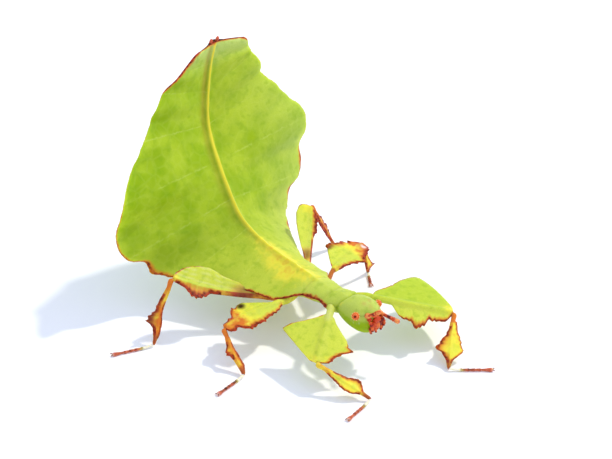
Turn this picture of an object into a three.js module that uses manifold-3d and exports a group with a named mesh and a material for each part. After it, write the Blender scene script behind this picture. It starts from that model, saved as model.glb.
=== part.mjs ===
// Leaf insect, a female nymph standing on the floor with her abdomen curled up over her back.
//
// Millimetres. The body is laid out with the mid-plane at x = 0, the head towards -Y, the
// animal's own left towards +X and the floor at z = 0. The finished group is then moved so that
// the origin is the middle of the base of the bounding box.

import Module from "manifold-3d";
import * as THREE from "three";
import { mergeVertices } from "three/addons/utils/BufferGeometryUtils.js";

const wasm = await Module();
wasm.setup();

// ---- driving dimensions -------------------------------------------------------------------

const CUT = 0.3; // gap left between two neighbouring body parts
const LOBE_THICKNESS = 0.55; // leaf-like lobes of the abdomen and the legs
const EYE_RADIUS = 0.5;
const NEARLY_EDGE = 0.98; // share of the half width that is still read as the leaf's face
const TARSUS_HALF_WIDTH = 0.3;
const TARSUS_HEIGHT = 0.55;
const COXA_RADII = [0.42, 0.5, 0.45]; // from the body to the femur

// Abdomen: [station, y, z] down the midrib, from the thorax to the tip.
const MIDRIB = [
  [0.0, -13.2, 6.8],
  [0.1, -9.4, 7.15],
  [0.2, -5.8, 8.0],
  [0.3, -2.8, 9.65],
  [0.38, -0.85, 12.45],
  [0.46, 0.8, 15.4],
  [0.54, 1.95, 18.0],
  [0.62, 2.5, 20.4],
  [0.72, 2.45, 23.6],
  [0.85, 1.85, 27.9],
  [1.0, 0.75, 31.9],
];

// Abdomen: [station, distance] that its upper half leans, and the direction it leans in.
const LEAN = [
  [0.3, 0], [0.38, 0.4], [0.46, 1.4], [0.54, 2.6],
  [0.62, 3.6], [0.72, 4.7], [0.85, 6.2], [1.0, 8.0],
];
const LEAN_DIRECTION = [0.58, 0.65, -0.49]; // to the left, backwards and down

// Abdomen: [station, half width, y, z] along the edge of the leaf.
const MARGIN = [
  [0.0, 4.3, -13.2, 5.0],
  [0.05, 4.9, -11.6, 4.9],
  [0.09, 5.2, -10.1, 4.8],
  [0.16, 6.7, -6.9, 4.7],
  [0.24, 8.7, -2.9, 4.65],
  [0.285, 10.3, -0.5, 4.7],
  [0.3, 11.0, 0.1, 5.0],
  [0.312, 11.4, 0.5, 5.9],
  [0.325, 11.9, 0.7, 6.8],
  [0.345, 13.6, 1.0, 7.5],
  [0.37, 14.7, 1.6, 9.0],
  [0.4, 14.75, 2.0, 11.2],
  [0.43, 14.9, 1.0, 13.6],
  [0.46, 14.6, 0.6, 15.8],
  [0.49, 14.0, 0.8, 17.4],
  [0.52, 12.6, 1.5, 19.0],
  [0.56, 11.4, 1.6, 20.5],
  [0.6, 10.3, 1.8, 22.0],
  [0.64, 8.8, 2.3, 23.6],
  [0.69, 8.1, 1.7, 25.6],
  [0.74, 7.2, 1.7, 27.1],
  [0.78, 6.6, 1.5, 27.8],
  [0.83, 5.7, 0.9, 28.8],
  [0.89, 4.5, 0.8, 29.8],
  [0.95, 3.4, 0.3, 31.3],
  [1.0, 2.6, 0.2, 31.6],
];

// Abdomen: [station, half width, depth under the leaf] of the thick body along the midrib.
const BODY_CORE = [
  [0.0, 3.0, 2.3],
  [0.15, 2.8, 2.4],
  [0.4, 2.5, 1.9],
  [0.7, 2.0, 1.1],
  [1.0, 1.2, 0.5],
];
const MIDRIB_RIDGE = 0.35; // height of the midrib above the leaf
const ABDOMEN_JOINTS = [0, 0.12, 0.22, 0.32, 0.41, 0.5, 0.61, 0.74, 0.86, 1.0];
const ABDOMEN_STEP = 0.022; // station step of the abdomen's mesh
const ABDOMEN_SPOTS = [1, 0.85, 0.67, 0.5, 0.34, 0.2, 0.09, 0]; // share of the half width

// Trunk pieces: [y, half width, top z, bottom z] of the cross-sections, tail to head.
const TRUNK = {
  metathorax: [
    [-13.5, 4.1, 7.2, 4.3],
    [-14.5, 3.3, 7.15, 4.6],
    [-15.8, 2.2, 7.0, 4.9],
  ],
  mesothorax: [
    [-16.1, 2.15, 6.95, 4.9],
    [-17.3, 2.0, 6.8, 4.9],
    [-18.5, 1.6, 6.65, 5.0],
  ],
  pronotum: [
    [-18.8, 1.65, 6.75, 5.0],
    [-19.7, 1.8, 6.95, 5.05],
    [-20.85, 1.5, 7.0, 5.1],
  ],
  head: [
    [-21.15, 1.48, 7.1, 5.0],
    [-21.9, 1.8, 7.6, 4.7],
    [-22.9, 2.05, 8.0, 4.3],
    [-23.8, 2.1, 8.1, 4.15],
    [-24.65, 1.98, 7.95, 4.1],
    [-25.25, 1.62, 7.5, 4.25],
    [-25.7, 1.2, 7.1, 4.75],
    [-25.95, 0.75, 6.65, 5.2],
  ],
};
const TRUNK_SIDES = 16;

const MOUTHPARTS = { centre: [0, -26.7, 5.6], half: [0.55, 0.42, 0.95] };
const PALPS = {
  root: [1.12, -26.2, 5.85], tip: [1.12, -26.75, 4.75],
  radii: [0.25, 0.36, 0.32, 0.36, 0.22],
};
const EYE = { centre: [1.85, -24.5, 6.85], socket: EYE_RADIUS + CUT };
const ANTENNAE = {
  right: { root: [-0.95, -26.25, 7.35], tip: [-0.85, -27.45, 8.5] },
  left: { root: [1.0, -26.35, 6.75], tip: [1.45, -28.3, 6.4] },
};
const ANTENNA_RADII = [0.33, 0.26, 0.25, 0.3, 0.26];
const CERCI = { root: [0.5, 0.7, 32.3], tip: [0.55, 0.6, 33.1], radii: [0.25, 0.3, 0.2] };

// Legs. root, hip, knee, ankle and toe are points and bow bends the femur at its middle. lift is
// how far the front and the rear lobe of the femur tip up out of the level, in degrees. Every
// lobe is a list of [share of the segment's length, breadth] from the body to the foot.
const FRONT_RIGHT_FEMUR = {
  front: [
      [0.05, 0.63], [0.15, 0.92], [0.25, 1.42], [0.35, 1.96], [0.45, 2.58], [0.55, 3],
      [0.61, 3.42], [0.65, 3.48], [0.7, 3], [0.75, 2.46], [0.8, 2.09], [0.9, 1.79],
      [0.96, 1.55],
  ],
  rear: [
      [0.01, 0.7], [0.05, 1.21], [0.1, 1.81], [0.15, 2.69], [0.2, 3.55], [0.25, 4.4],
      [0.3, 4.91], [0.35, 5.14], [0.4, 4.89], [0.5, 4.16], [0.6, 3.45], [0.7, 2.75],
      [0.8, 2.04], [0.9, 1.3], [0.96, 0.85],
  ],
};
const FRONT_LEFT_FEMUR = {
  front: [
      [0.1, 0.42], [0.25, 0.5], [0.3, 1.16], [0.35, 1.74], [0.4, 1.98], [0.5, 2.25],
      [0.54, 2.96], [0.6, 2.77], [0.65, 2.57], [0.7, 1.78], [0.8, 1.49], [0.85, 1.53],
      [0.9, 1.29], [0.96, 0.95],
  ],
  rear: [
      [0.015, 0.8], [0.04, 1.5], [0.08, 2.15], [0.15, 2.82], [0.25, 3.71], [0.3, 4.53],
      [0.35, 5.33], [0.4, 5.9], [0.45, 6.39], [0.5, 6.77], [0.55, 7], [0.6, 6.9],
      [0.65, 6.5], [0.7, 6], [0.75, 5.37], [0.8, 4.67], [0.85, 3.88], [0.9, 3.03],
      [0.95, 2], [0.99, 0.9],
  ],
};
const MIDDLE_RIGHT_FEMUR = {
  front: [
      [0.01, 0.45], [0.1, 0.99], [0.2, 1.46], [0.3, 1.55], [0.35, 1.72], [0.4, 2.19],
      [0.45, 2.42], [0.55, 2.38], [0.65, 2.31], [0.7, 2.14], [0.75, 1.67], [0.8, 1.2],
      [0.95, 1.21], [0.98, 0.9],
  ],
  rear: [
      [0.1, 0.42], [0.2, 0.76], [0.3, 1.37], [0.4, 1.95], [0.5, 2.45], [0.6, 2.55],
      [0.7, 2.2], [0.75, 1.87], [0.8, 1.24], [0.9, 0.77], [0.98, 0.5],
  ],
};
const MIDDLE_LEFT_FEMUR = {
  front: [
      [0.03, 0.6], [0.2, 0.82], [0.3, 1.16], [0.4, 1.66], [0.5, 2.2], [0.6, 1.89],
      [0.7, 1.6], [0.8, 1.35], [0.9, 1.1], [0.96, 0.8],
  ],
  rear: [
      [0.01, 0.55], [0.1, 1.13], [0.2, 1.72], [0.3, 2.27], [0.4, 2.82], [0.45, 3],
      [0.55, 2.74], [0.65, 2.42], [0.75, 1.94], [0.85, 1.46], [0.95, 0.97],
  ],
};
const HIND_RIGHT_FEMUR = {
  front: [
      [0.3, 0.42], [0.5, 0.55], [0.55, 0.7], [0.6, 1.18], [0.65, 1.58], [0.75, 1.56],
      [0.8, 0.7], [0.9, 0.52], [0.97, 0.47],
  ],
  rear: [
      [0.4, 0.42], [0.5, 2.25], [0.58, 2.5], [0.7, 2.39], [0.8, 2.03], [0.87, 1.7],
      [0.92, 1.35], [0.97, 0.85],
  ],
};
const HIND_LEFT_FEMUR = {
  front: [
      [0.3, 0.42], [0.5, 0.5], [0.6, 0.75], [0.65, 1], [0.7, 1.25], [0.8, 1], [0.85, 0.85],
      [0.95, 0.5],
  ],
  rear: [
      [0.4, 0.42], [0.5, 2.05], [0.6, 2.32], [0.7, 2.4], [0.77, 2.4], [0.85, 2.15],
      [0.9, 2], [0.95, 1.6], [0.98, 1.1],
  ],
};
const FRONT_TIBIA = {
  outer: [
      [0.05, 0.3], [0.2, 0.5], [0.4, 0.8], [0.53, 1.05], [0.62, 0.95], [0.72, 0.5],
      [0.8, 0.28], [0.95, 0.2],
  ],
  inner: [
      [0.05, 0.3], [0.25, 0.4], [0.45, 0.8], [0.6, 1.2], [0.68, 1.3], [0.75, 0.75],
      [0.81, 0.32], [0.95, 0.2],
  ],
};
const FRONT_TIBIA_BROAD = {
  outer: [
      [0.03, 0.5], [0.2, 0.75], [0.4, 1.15], [0.56, 1.55], [0.62, 1.5], [0.72, 0.9],
      [0.82, 0.4], [0.95, 0.22],
  ],
  inner: [
      [0.05, 0.3], [0.2, 0.4], [0.35, 0.8], [0.48, 1.35], [0.56, 1.6], [0.64, 1.35],
      [0.72, 0.85], [0.82, 0.4], [0.95, 0.22],
  ],
};
const MIDDLE_RIGHT_TIBIA = {
  outer: [
      [0.05, 0.3], [0.25, 0.42], [0.36, 0.7], [0.44, 1], [0.5, 0.55], [0.6, 0.32],
      [0.95, 0.22],
  ],
  inner: [
      [0.05, 0.3], [0.3, 0.4], [0.5, 0.55], [0.65, 0.42], [0.8, 0.28], [0.95, 0.22],
  ],
};
const MIDDLE_LEFT_TIBIA = {
  outer: [
      [0.05, 0.35], [0.3, 0.6], [0.55, 0.9], [0.72, 1.3], [0.82, 1.85], [0.88, 0.8],
      [0.95, 0.3],
  ],
  inner: [
      [0.05, 0.3], [0.4, 0.4], [0.85, 0.3],
  ],
};
const HIND_RIGHT_TIBIA = {
  outer: [
      [0.05, 0.3], [0.3, 0.55], [0.5, 0.95], [0.62, 1.35], [0.68, 0.8], [0.78, 0.4],
      [0.9, 0.22],
  ],
  inner: [
      [0.05, 0.3], [0.4, 0.4], [0.6, 0.55], [0.8, 0.5], [0.92, 0.22],
  ],
};
const HIND_LEFT_TIBIA = {
  outer: [
      [0.05, 0.5], [0.3, 0.75], [0.5, 0.85], [0.66, 0.8], [0.8, 0.45], [0.92, 0.22],
  ],
  inner: [
      [0.05, 0.45], [0.4, 0.6], [0.6, 0.5], [0.85, 0.3],
  ],
};

const LEGS = {
  front_right: {
    root: [-2.1, -20.2, 5.3], hip: [-2.8, -21.3, 6.2], knee: [-8.12, -24.53, 3.6],
    ankle: [-5.5, -30.65], toe: [-10.0, -31.45],
    bow: [0, 0, 0], lift: [-6, -8], femur: FRONT_RIGHT_FEMUR, tibia: FRONT_TIBIA,
  },
  front_left: {
    root: [2.15, -20.3, 5.6], hip: [2.9, -21.55, 5.9], knee: [9.86, -28.9, 3.9],
    ankle: [5.03, -32.78], toe: [8.8, -36.4],
    bow: [0, 0, 0], lift: [-28, -6], femur: FRONT_LEFT_FEMUR, tibia: FRONT_TIBIA_BROAD,
  },
  middle_right: {
    root: [-2.75, -16.3, 5.5], hip: [-3.4, -15.6, 5.0], knee: [-11.38, -12.7, 3.9],
    ankle: [-12.6, -17.35], toe: [-17.26, -17.9],
    bow: [0, 0, 0.3], lift: [0, 0], femur: MIDDLE_RIGHT_FEMUR, tibia: MIDDLE_RIGHT_TIBIA,
  },
  middle_left: {
    root: [2.75, -16.3, 5.5], hip: [3.7, -15.3, 5.3], knee: [11.14, -12.8, 5.2],
    ankle: [12.43, -12.46], toe: [10.77, -14.65],
    bow: [0, 0, 0], lift: [0, 15], femur: MIDDLE_LEFT_FEMUR, tibia: MIDDLE_LEFT_TIBIA,
  },
  hind_right: {
    root: [-2.9, -12.6, 3.6], hip: [-4.2, -11.35, 3.6], knee: [-12.0, -4.65, 7.2],
    ankle: [-16.16, -5.78], toe: [-20.9, -3.75],
    bow: [0.0, 0.4, -0.8], lift: [-18, 45], femur: HIND_RIGHT_FEMUR, tibia: HIND_RIGHT_TIBIA,
  },
  hind_left: {
    root: [2.9, -12.6, 3.6], hip: [4.2, -11.35, 3.6], knee: [10.06, -4.96, 7.5],
    ankle: [13.6, -5.47], toe: [12.6, -6.8],
    bow: [0.5, 0.4, -0.85], lift: [-25, 45], femur: HIND_LEFT_FEMUR, tibia: HIND_LEFT_TIBIA,
  },
};
const FEMUR_CORE = 0.45; // radius of the shaft inside a femur's lobes
const TIBIA_CORE = 0.34;
const KNEE_CLEARANCE = 1.25; // from the knee point to the start of the tibia
const HIP_CLEARANCE = 0.65; // from the end of the coxa to the start of the femur
const ANKLE_HEIGHT = 1.08; // of the end of the tibia over the floor
const LOBE_STATIONS = 16; // lengths between the cross-sections of a femur or a tibia
const CORE_TAPER = 0.25; // share of its radius that a shaft loses towards the foot
const CORE_SHOULDER = 0.85; // share of the shaft's radius where its lobes start
const CORE_COVER = 0.05; // least width of lobe over the shaft
// Half widths along the foot, as shares of the foot's half width.
const TARSUS_SWELL = [0.75, 0.95, 0.7, 0.95, 0.7, 0.95, 0.7, 0.95, 0.75, 1.1, 1.3, 1.0];
// Foot's cross-section: [share of the half width, share of the height].
const TARSUS_SECTION = [[-0.7, 0], [0.7, 0], [1, 0.45], [0.6, 1], [-0.6, 1], [-1, 0.45]];

// ---- finishes -----------------------------------------------------------------------------

const FINISH = {
  leaf: new THREE.MeshStandardMaterial({ color: "#b9cf34", roughness: 0.55 }),
  head: new THREE.MeshStandardMaterial({ color: "#a8cf3c", roughness: 0.5 }),
  eye: new THREE.MeshStandardMaterial({ color: "#a5392a", roughness: 0.25 }),
  horn: new THREE.MeshStandardMaterial({ color: "#b5482f", roughness: 0.45 }),
  tibia: new THREE.MeshStandardMaterial({ color: "#d9a03a", roughness: 0.5 }),
  foot: new THREE.MeshStandardMaterial({ color: "#c96a5e", roughness: 0.5 }),
};

// ---- shape tools --------------------------------------------------------------------------

const vec = (point) => new THREE.Vector3(...point);

/** Straight-line reading of a table of [station, value, ...] rows. */
function readTable(rows, station) {
  let last = rows.length - 2;
  while (last > 0 && rows[last][0] > station) last -= 1;
  const [from, to] = [rows[last], rows[last + 1]];
  const share = THREE.MathUtils.clamp((station - from[0]) / (to[0] - from[0]), 0, 1);
  return from.slice(1).map((value, i) => THREE.MathUtils.lerp(value, to[i + 1], share));
}

/** Smooth reading of the same kind of table, with a Catmull-Rom curve through the rows. */
function readSmooth(rows, station) {
  let last = rows.length - 2;
  while (last > 0 && rows[last][0] > station) last -= 1;
  const [before, from, to, after] = [-1, 0, 1, 2].map(
    (i) => rows[THREE.MathUtils.clamp(last + i, 0, rows.length - 1)],
  );
  const span = to[0] - from[0];
  const s = THREE.MathUtils.clamp((station - from[0]) / span, 0, 1);
  return from.slice(1).map((_, i) => {
    const k = i + 1;
    const slopeIn = ((to[k] - before[k]) / Math.max(to[0] - before[0], 1e-6)) * span;
    const slopeOut = ((after[k] - from[k]) / Math.max(after[0] - from[0], 1e-6)) * span;
    const s2 = s * s;
    const s3 = s2 * s;
    return (
      (2 * s3 - 3 * s2 + 1) * from[k] + (s3 - 2 * s2 + s) * slopeIn +
      (3 * s2 - 2 * s3) * to[k] + (s3 - s2) * slopeOut
    );
  });
}

/**
 * Closed body through a row of rings, all with the same even number of points. Each end is closed
 * by a strip that joins the points of the ring's first half to those of its second half.
 */
function loft(rings) {
  const sides = rings[0].length;
  const positions = rings.flat().flatMap((point) => point.toArray());
  const indices = [];
  const quad = (a, b, c, d) => indices.push(a, b, c, a, c, d);
  for (let ring = 0; ring < rings.length - 1; ring += 1) {
    const here = ring * sides;
    for (let side = 0; side < sides; side += 1) {
      const next = (side + 1) % sides;
      quad(here + side, here + next, here + sides + next, here + sides + side);
    }
  }
  const last = (rings.length - 1) * sides;
  for (let side = 0; side < sides / 2 - 1; side += 1) {
    const far = sides - 1 - side;
    quad(side, far, far - 1, side + 1);
    quad(last + side, last + side + 1, last + far - 1, last + far);
  }
  return outward(positions, indices);
}

/** Geometry from positions and indices, turned so that its faces point out. */
function outward(positions, indices) {
  let volume = 0;
  const corner = (i) => new THREE.Vector3().fromArray(positions, indices[i] * 3);
  for (let i = 0; i < indices.length; i += 3) {
    volume += corner(i).dot(corner(i + 1).cross(corner(i + 2)));
  }
  if (volume < 0) indices.reverse();
  const geometry = new THREE.BufferGeometry();
  geometry.setAttribute("position", new THREE.Float32BufferAttribute(positions, 3));
  geometry.setIndex(indices);
  geometry.computeVertexNormals();
  return geometry;
}

/** Round rod from root to tip whose radius follows a list of radii. */
function rod(root, tip, radii, sides = 8) {
  const axis = vec(tip).sub(vec(root));
  const upright = Math.abs(axis.z) > 0.8 * axis.length();
  const out = upright ? new THREE.Vector3(0, 1, 0) : new THREE.Vector3(0, 0, 1);
  const across = new THREE.Vector3().crossVectors(axis, out).normalize();
  const up = new THREE.Vector3().crossVectors(across, axis).normalize();
  const rings = radii.map((radius, i) => {
    const centre = vec(root).addScaledVector(axis, i / (radii.length - 1));
    return Array.from({ length: sides }, (_, side) => {
      const turn = (2 * Math.PI * side) / sides;
      return centre.clone()
        .addScaledVector(across, radius * Math.cos(turn))
        .addScaledVector(up, radius * Math.sin(turn));
    });
  });
  return loft(rings);
}

const model = new THREE.Group();

/** Adds one named body part to the model. */
function addPiece(name, geometry, finish) {
  const mesh = new THREE.Mesh(geometry, finish);
  mesh.name = name;
  model.add(mesh);
}

// ---- abdomen ------------------------------------------------------------------------------

/** How far the abdomen leans at a station. */
function leaning(station) {
  const [distance] = station < LEAN[0][0] ? [0] : readSmooth(LEAN, station);
  return vec(LEAN_DIRECTION).multiplyScalar(distance);
}

/** Point of the leaf's middle surface; side runs from -1 (right edge) to 1 (left edge). */
function leafPoint(station, side) {
  const [midY, midZ] = readSmooth(MIDRIB, station);
  const [halfWidth, edgeY, edgeZ] = readSmooth(MARGIN, station);
  const share = Math.abs(side);
  return new THREE.Vector3(
    side * halfWidth,
    THREE.MathUtils.lerp(midY, edgeY, share),
    THREE.MathUtils.lerp(midZ, edgeZ, share),
  ).add(leaning(station));
}

/** Outward normal of the leaf's upper face. */
function leafNormal(station, side) {
  const step = 0.01;
  const inner = THREE.MathUtils.clamp(side, -NEARLY_EDGE, NEARLY_EDGE);
  const ahead = leafPoint(Math.min(station + step, 1), inner);
  const along = ahead.sub(leafPoint(Math.max(station - step, 0), inner));
  const across = leafPoint(station, inner + step).sub(leafPoint(station, inner - step));
  return across.cross(along).normalize();
}

/** Direction straight out of the back at a station, square to the leaf's width. */
function backNormal(station) {
  const step = 0.01;
  const from = leafPoint(Math.max(station - step, 0), 0);
  const to = leafPoint(Math.min(station + step, 1), 0);
  return new THREE.Vector3(0, from.z - to.z, to.y - from.y).normalize();
}

/** One cross-section of the abdomen: over the top from right to left, then back underneath. */
function abdomenRing(station) {
  const [coreHalf, coreDepth] = readTable(BODY_CORE, station);
  const back = backNormal(station);
  const middleX = leaning(station).x;
  const sides = [...ABDOMEN_SPOTS.map((s) => -s), ...ABDOMEN_SPOTS.slice(0, -1).reverse()];
  const face = (side, top) => {
    const centre = leafPoint(station, side);
    const swell = Math.max(0, 1 - ((centre.x - middleX) / coreHalf) ** 2);
    const normal = side === 0 ? back : leafNormal(station, side);
    return centre
      .addScaledVector(normal, ((top ? 1 : -1) * LOBE_THICKNESS) / 2)
      .addScaledVector(back, swell * (top ? MIDRIB_RIDGE : -coreDepth));
  };
  return [...sides.map((s) => face(s, true)), ...sides.reverse().map((s) => face(s, false))];
}

/** Half of the cut at a joint, in stations, where the leaf is shortest along its length. */
function trimAt(joint) {
  if (joint <= 0 || joint >= 1) return 0;
  const step = 0.01;
  const lengths = [-NEARLY_EDGE, 0, NEARLY_EDGE].map((side) => {
    return leafPoint(joint - step, side).distanceTo(leafPoint(joint + step, side)) / (2 * step);
  });
  return CUT / 2 / Math.min(...lengths);
}

/** Abdomen in lengths, split where its segments join. */
function addAbdomen() {
  for (let k = 0; k < ABDOMEN_JOINTS.length - 1; k += 1) {
    const start = ABDOMEN_JOINTS[k] + trimAt(ABDOMEN_JOINTS[k]);
    const end = ABDOMEN_JOINTS[k + 1] - trimAt(ABDOMEN_JOINTS[k + 1]);
    const steps = Math.round((end - start) / ABDOMEN_STEP);
    const rings = Array.from({ length: steps + 1 }, (_, i) => {
      return abdomenRing(start + ((end - start) * i) / steps);
    });
    addPiece(`abdomen_${k + 1}`, loft(rings), FINISH.leaf);
  }
}

// ---- trunk and head -----------------------------------------------------------------------

/** Trunk piece through upright oval sections. */
function trunkGeometry(sections) {
  const rings = sections.map(([y, halfWidth, top, bottom]) =>
    Array.from({ length: TRUNK_SIDES }, (_, i) => {
      const turn = (2 * Math.PI * i) / TRUNK_SIDES;
      const z = (top + bottom) / 2 + ((top - bottom) / 2) * Math.sin(turn);
      return new THREE.Vector3(halfWidth * Math.cos(turn), y, z);
    }),
  );
  return loft(rings);
}

/** Sphere with its seam closed. */
function ball(radius, centre) {
  const sphere = new THREE.SphereGeometry(radius, 12, 8);
  sphere.deleteAttribute("normal");
  sphere.deleteAttribute("uv");
  return mergeVertices(sphere, 1e-4).translate(...centre);
}

/** The same closed geometry as a manifold solid. */
function toSolid(geometry) {
  return new wasm.Manifold(new wasm.Mesh({
    numProp: 3,
    vertProperties: new Float32Array(geometry.attributes.position.array),
    triVerts: new Uint32Array(geometry.index.array),
  }));
}

/** Geometry with a row of closed cutters taken out of it. */
function carve(geometry, cutters) {
  const solid = cutters.reduce((body, cutter) => body.subtract(toSolid(cutter)), toSolid(geometry));
  const { vertProperties, triVerts } = solid.getMesh();
  return outward(Array.from(vertProperties), Array.from(triVerts));
}

/** The same point on the chosen side: 1 is the animal's left, -1 its right. */
const mirror = ([x, y, z], sign) => [sign * x, y, z];

function addTrunk() {
  ["metathorax", "mesothorax", "pronotum"].forEach((name) => {
    addPiece(name, trunkGeometry(TRUNK[name]), FINISH.leaf);
  });
  const sockets = [1, -1].map((sign) => ball(EYE.socket, mirror(EYE.centre, sign)));
  addPiece("head", carve(trunkGeometry(TRUNK.head), sockets), FINISH.head);
}

function addHeadParts() {
  [["left", 1], ["right", -1]].forEach(([side, sign]) => {
    addPiece(`eye_${side}`, ball(EYE_RADIUS, mirror(EYE.centre, sign)), FINISH.eye);
    const { root, tip } = ANTENNAE[side];
    addPiece(`antenna_${side}`, rod(root, tip, ANTENNA_RADII), FINISH.horn);
    const palp = rod(mirror(PALPS.root, sign), mirror(PALPS.tip, sign), PALPS.radii);
    addPiece(`palp_${side}`, palp, FINISH.horn);
  });
  const mouth = ball(1, [0, 0, 0]).scale(...MOUTHPARTS.half).translate(...MOUTHPARTS.centre);
  addPiece("mouthparts", mouth, FINISH.horn);
}

function addCerci() {
  const { x, y, z } = leaning(1);
  [["left", 1], ["right", -1]].forEach(([side, sign]) => {
    const cercus = rod(mirror(CERCI.root, sign), mirror(CERCI.tip, sign), CERCI.radii)
      .translate(x, y, z);
    addPiece(`cercus_${side}`, cercus, FINISH.horn);
  });
}

// ---- legs ---------------------------------------------------------------------------------

/** Direction tipped up out of the level by some degrees. */
function tipped(direction, up, degrees) {
  const angle = THREE.MathUtils.degToRad(degrees);
  return direction.clone().multiplyScalar(Math.cos(angle)).addScaledVector(up, Math.sin(angle));
}

/**
 * Leg segment: a round shaft from root to tip, bowed at its middle, with a thin lobe on each side.
 * lobes holds two { out, rows }: the direction that a lobe spreads in and its breadths.
 */
function lobedSegment(root, tip, bow, coreRadius, lobes) {
  const axis = tip.clone().sub(root);
  const half = LOBE_THICKNESS / 2;
  const [first, second] = lobes.map(({ out, rows }) => ({
    out,
    normal: new THREE.Vector3().crossVectors(axis, out).normalize(),
    rows: [[0, 0], ...rows, [1, 0]],
  }));
  second.normal.negate();
  const over = first.normal.clone().add(second.normal).normalize();
  const rings = Array.from({ length: LOBE_STATIONS + 1 }, (_, i) => {
    const share = i / LOBE_STATIONS;
    const centre = root.clone().addScaledVector(axis, share);
    centre.addScaledVector(bow, 4 * share * (1 - share));
    const core = coreRadius * (1 - CORE_TAPER * share);
    const place = (lobe, reach, lift) =>
      centre.clone().addScaledVector(lobe.out, reach).addScaledVector(lobe.normal, lift);
    const reachOf = (lobe) => Math.max(readTable(lobe.rows, share)[0], core + CORE_COVER);
    const shoulder = core * CORE_SHOULDER;
    return [
      place(first, reachOf(first), half), place(first, shoulder, half),
      centre.clone().addScaledVector(over, core),
      place(second, shoulder, half), place(second, reachOf(second), half),
      place(second, reachOf(second), -half), place(second, shoulder, -half),
      centre.clone().addScaledVector(over, -core),
      place(first, shoulder, -half), place(first, reachOf(first), -half),
    ];
  });
  return loft(rings);
}

/** Foot: five short joints lying flat on the floor, widening to the pad at the toe. */
function tarsusGeometry(ankle, toe) {
  const start = new THREE.Vector3(ankle[0], ankle[1], 0);
  const axis = new THREE.Vector3(toe[0], toe[1], 0).sub(start);
  const across = new THREE.Vector3(-axis.y, axis.x, 0).normalize();
  const rings = TARSUS_SWELL.map((size, i) => {
    const centre = start.clone().addScaledVector(axis, i / (TARSUS_SWELL.length - 1));
    const half = TARSUS_HALF_WIDTH * size;
    const height = TARSUS_HEIGHT * Math.min(size, 1);
    return TARSUS_SECTION.map(([wide, high]) => {
      return centre.clone().addScaledVector(across, wide * half).setZ(high * height);
    });
  });
  return loft(rings);
}

/** Femur with its two lobes, spreading forwards and backwards from the level. */
function femurGeometry(leg, hip, knee) {
  const thigh = knee.clone().sub(hip).normalize();
  const forward = new THREE.Vector3().crossVectors(thigh, new THREE.Vector3(0, 0, 1)).normalize();
  if (forward.y > 0) forward.negate();
  const up = new THREE.Vector3().crossVectors(thigh, forward).normalize();
  if (up.z < 0) up.negate();
  const lobes = [
    { out: tipped(forward, up, leg.lift[0]), rows: leg.femur.front },
    { out: tipped(forward.clone().negate(), up, leg.lift[1]), rows: leg.femur.rear },
  ];
  const start = hip.clone().addScaledVector(thigh, HIP_CLEARANCE);
  return lobedSegment(start, knee, vec(leg.bow), FEMUR_CORE, lobes);
}

/** Tibia with its lobes in the plane that the knee bends in. */
function tibiaGeometry(leg, hip, knee, ankle) {
  const thigh = knee.clone().sub(hip).normalize();
  const shin = ankle.clone().sub(knee).normalize();
  const hinge = new THREE.Vector3().crossVectors(thigh, shin).normalize();
  const outer = new THREE.Vector3().crossVectors(shin, hinge).normalize();
  const lobes = [
    { out: outer, rows: leg.tibia.outer },
    { out: outer.clone().negate(), rows: leg.tibia.inner },
  ];
  const start = knee.clone().addScaledVector(shin, KNEE_CLEARANCE);
  return lobedSegment(start, ankle, new THREE.Vector3(), TIBIA_CORE, lobes);
}

function addLeg(name, leg) {
  const [hip, knee] = [leg.hip, leg.knee].map(vec);
  const ankle = vec([...leg.ankle, ANKLE_HEIGHT]);
  addPiece(`coxa_${name}`, rod(leg.root, leg.hip, COXA_RADII), FINISH.leaf);
  addPiece(`femur_${name}`, femurGeometry(leg, hip, knee), FINISH.leaf);
  addPiece(`tibia_${name}`, tibiaGeometry(leg, hip, knee, ankle), FINISH.tibia);
  addPiece(`tarsus_${name}`, tarsusGeometry(leg.ankle, leg.toe), FINISH.foot);
}

// ---- the whole animal ---------------------------------------------------------------------

addAbdomen();
addTrunk();
addHeadParts();
addCerci();
Object.entries(LEGS).forEach(([name, leg]) => addLeg(name, leg));

/** Moves the model so that its origin is the middle of the base of its bounding box. */
function centreOnBase() {
  const box = new THREE.Box3().setFromObject(model);
  const middle = box.getCenter(new THREE.Vector3());
  model.position.set(-middle.x, -middle.y, -box.min.z);
}

centreOnBase();

export default model;
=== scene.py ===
"""Leaf insect, a female nymph standing with her abdomen curled up over her back.

All sizes are in millimetres in the animal's own layout: the mid-plane is x = 0, the head points
towards -Y, her left is +X and the floor is z = 0. Layout moves those places into the row's frame.
"""

import logging
import math
from dataclasses import dataclass, field
from enum import Enum
from typing import Sequence

import bmesh
import bpy
import numpy as np
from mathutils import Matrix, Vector


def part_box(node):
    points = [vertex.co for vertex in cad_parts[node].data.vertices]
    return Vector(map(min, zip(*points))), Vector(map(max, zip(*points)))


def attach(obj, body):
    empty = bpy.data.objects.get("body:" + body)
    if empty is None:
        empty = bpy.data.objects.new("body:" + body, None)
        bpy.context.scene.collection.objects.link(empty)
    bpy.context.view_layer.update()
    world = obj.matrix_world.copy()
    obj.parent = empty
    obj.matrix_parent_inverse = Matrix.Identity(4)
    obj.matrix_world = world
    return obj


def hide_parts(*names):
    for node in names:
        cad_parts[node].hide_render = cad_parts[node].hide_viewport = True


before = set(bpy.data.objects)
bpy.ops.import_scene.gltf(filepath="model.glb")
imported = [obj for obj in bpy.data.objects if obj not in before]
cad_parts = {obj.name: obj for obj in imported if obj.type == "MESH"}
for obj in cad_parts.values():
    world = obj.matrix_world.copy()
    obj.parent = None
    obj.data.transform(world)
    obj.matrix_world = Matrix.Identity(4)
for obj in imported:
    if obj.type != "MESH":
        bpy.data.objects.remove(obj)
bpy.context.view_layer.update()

log = logging.getLogger("leaf_insect")

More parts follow.
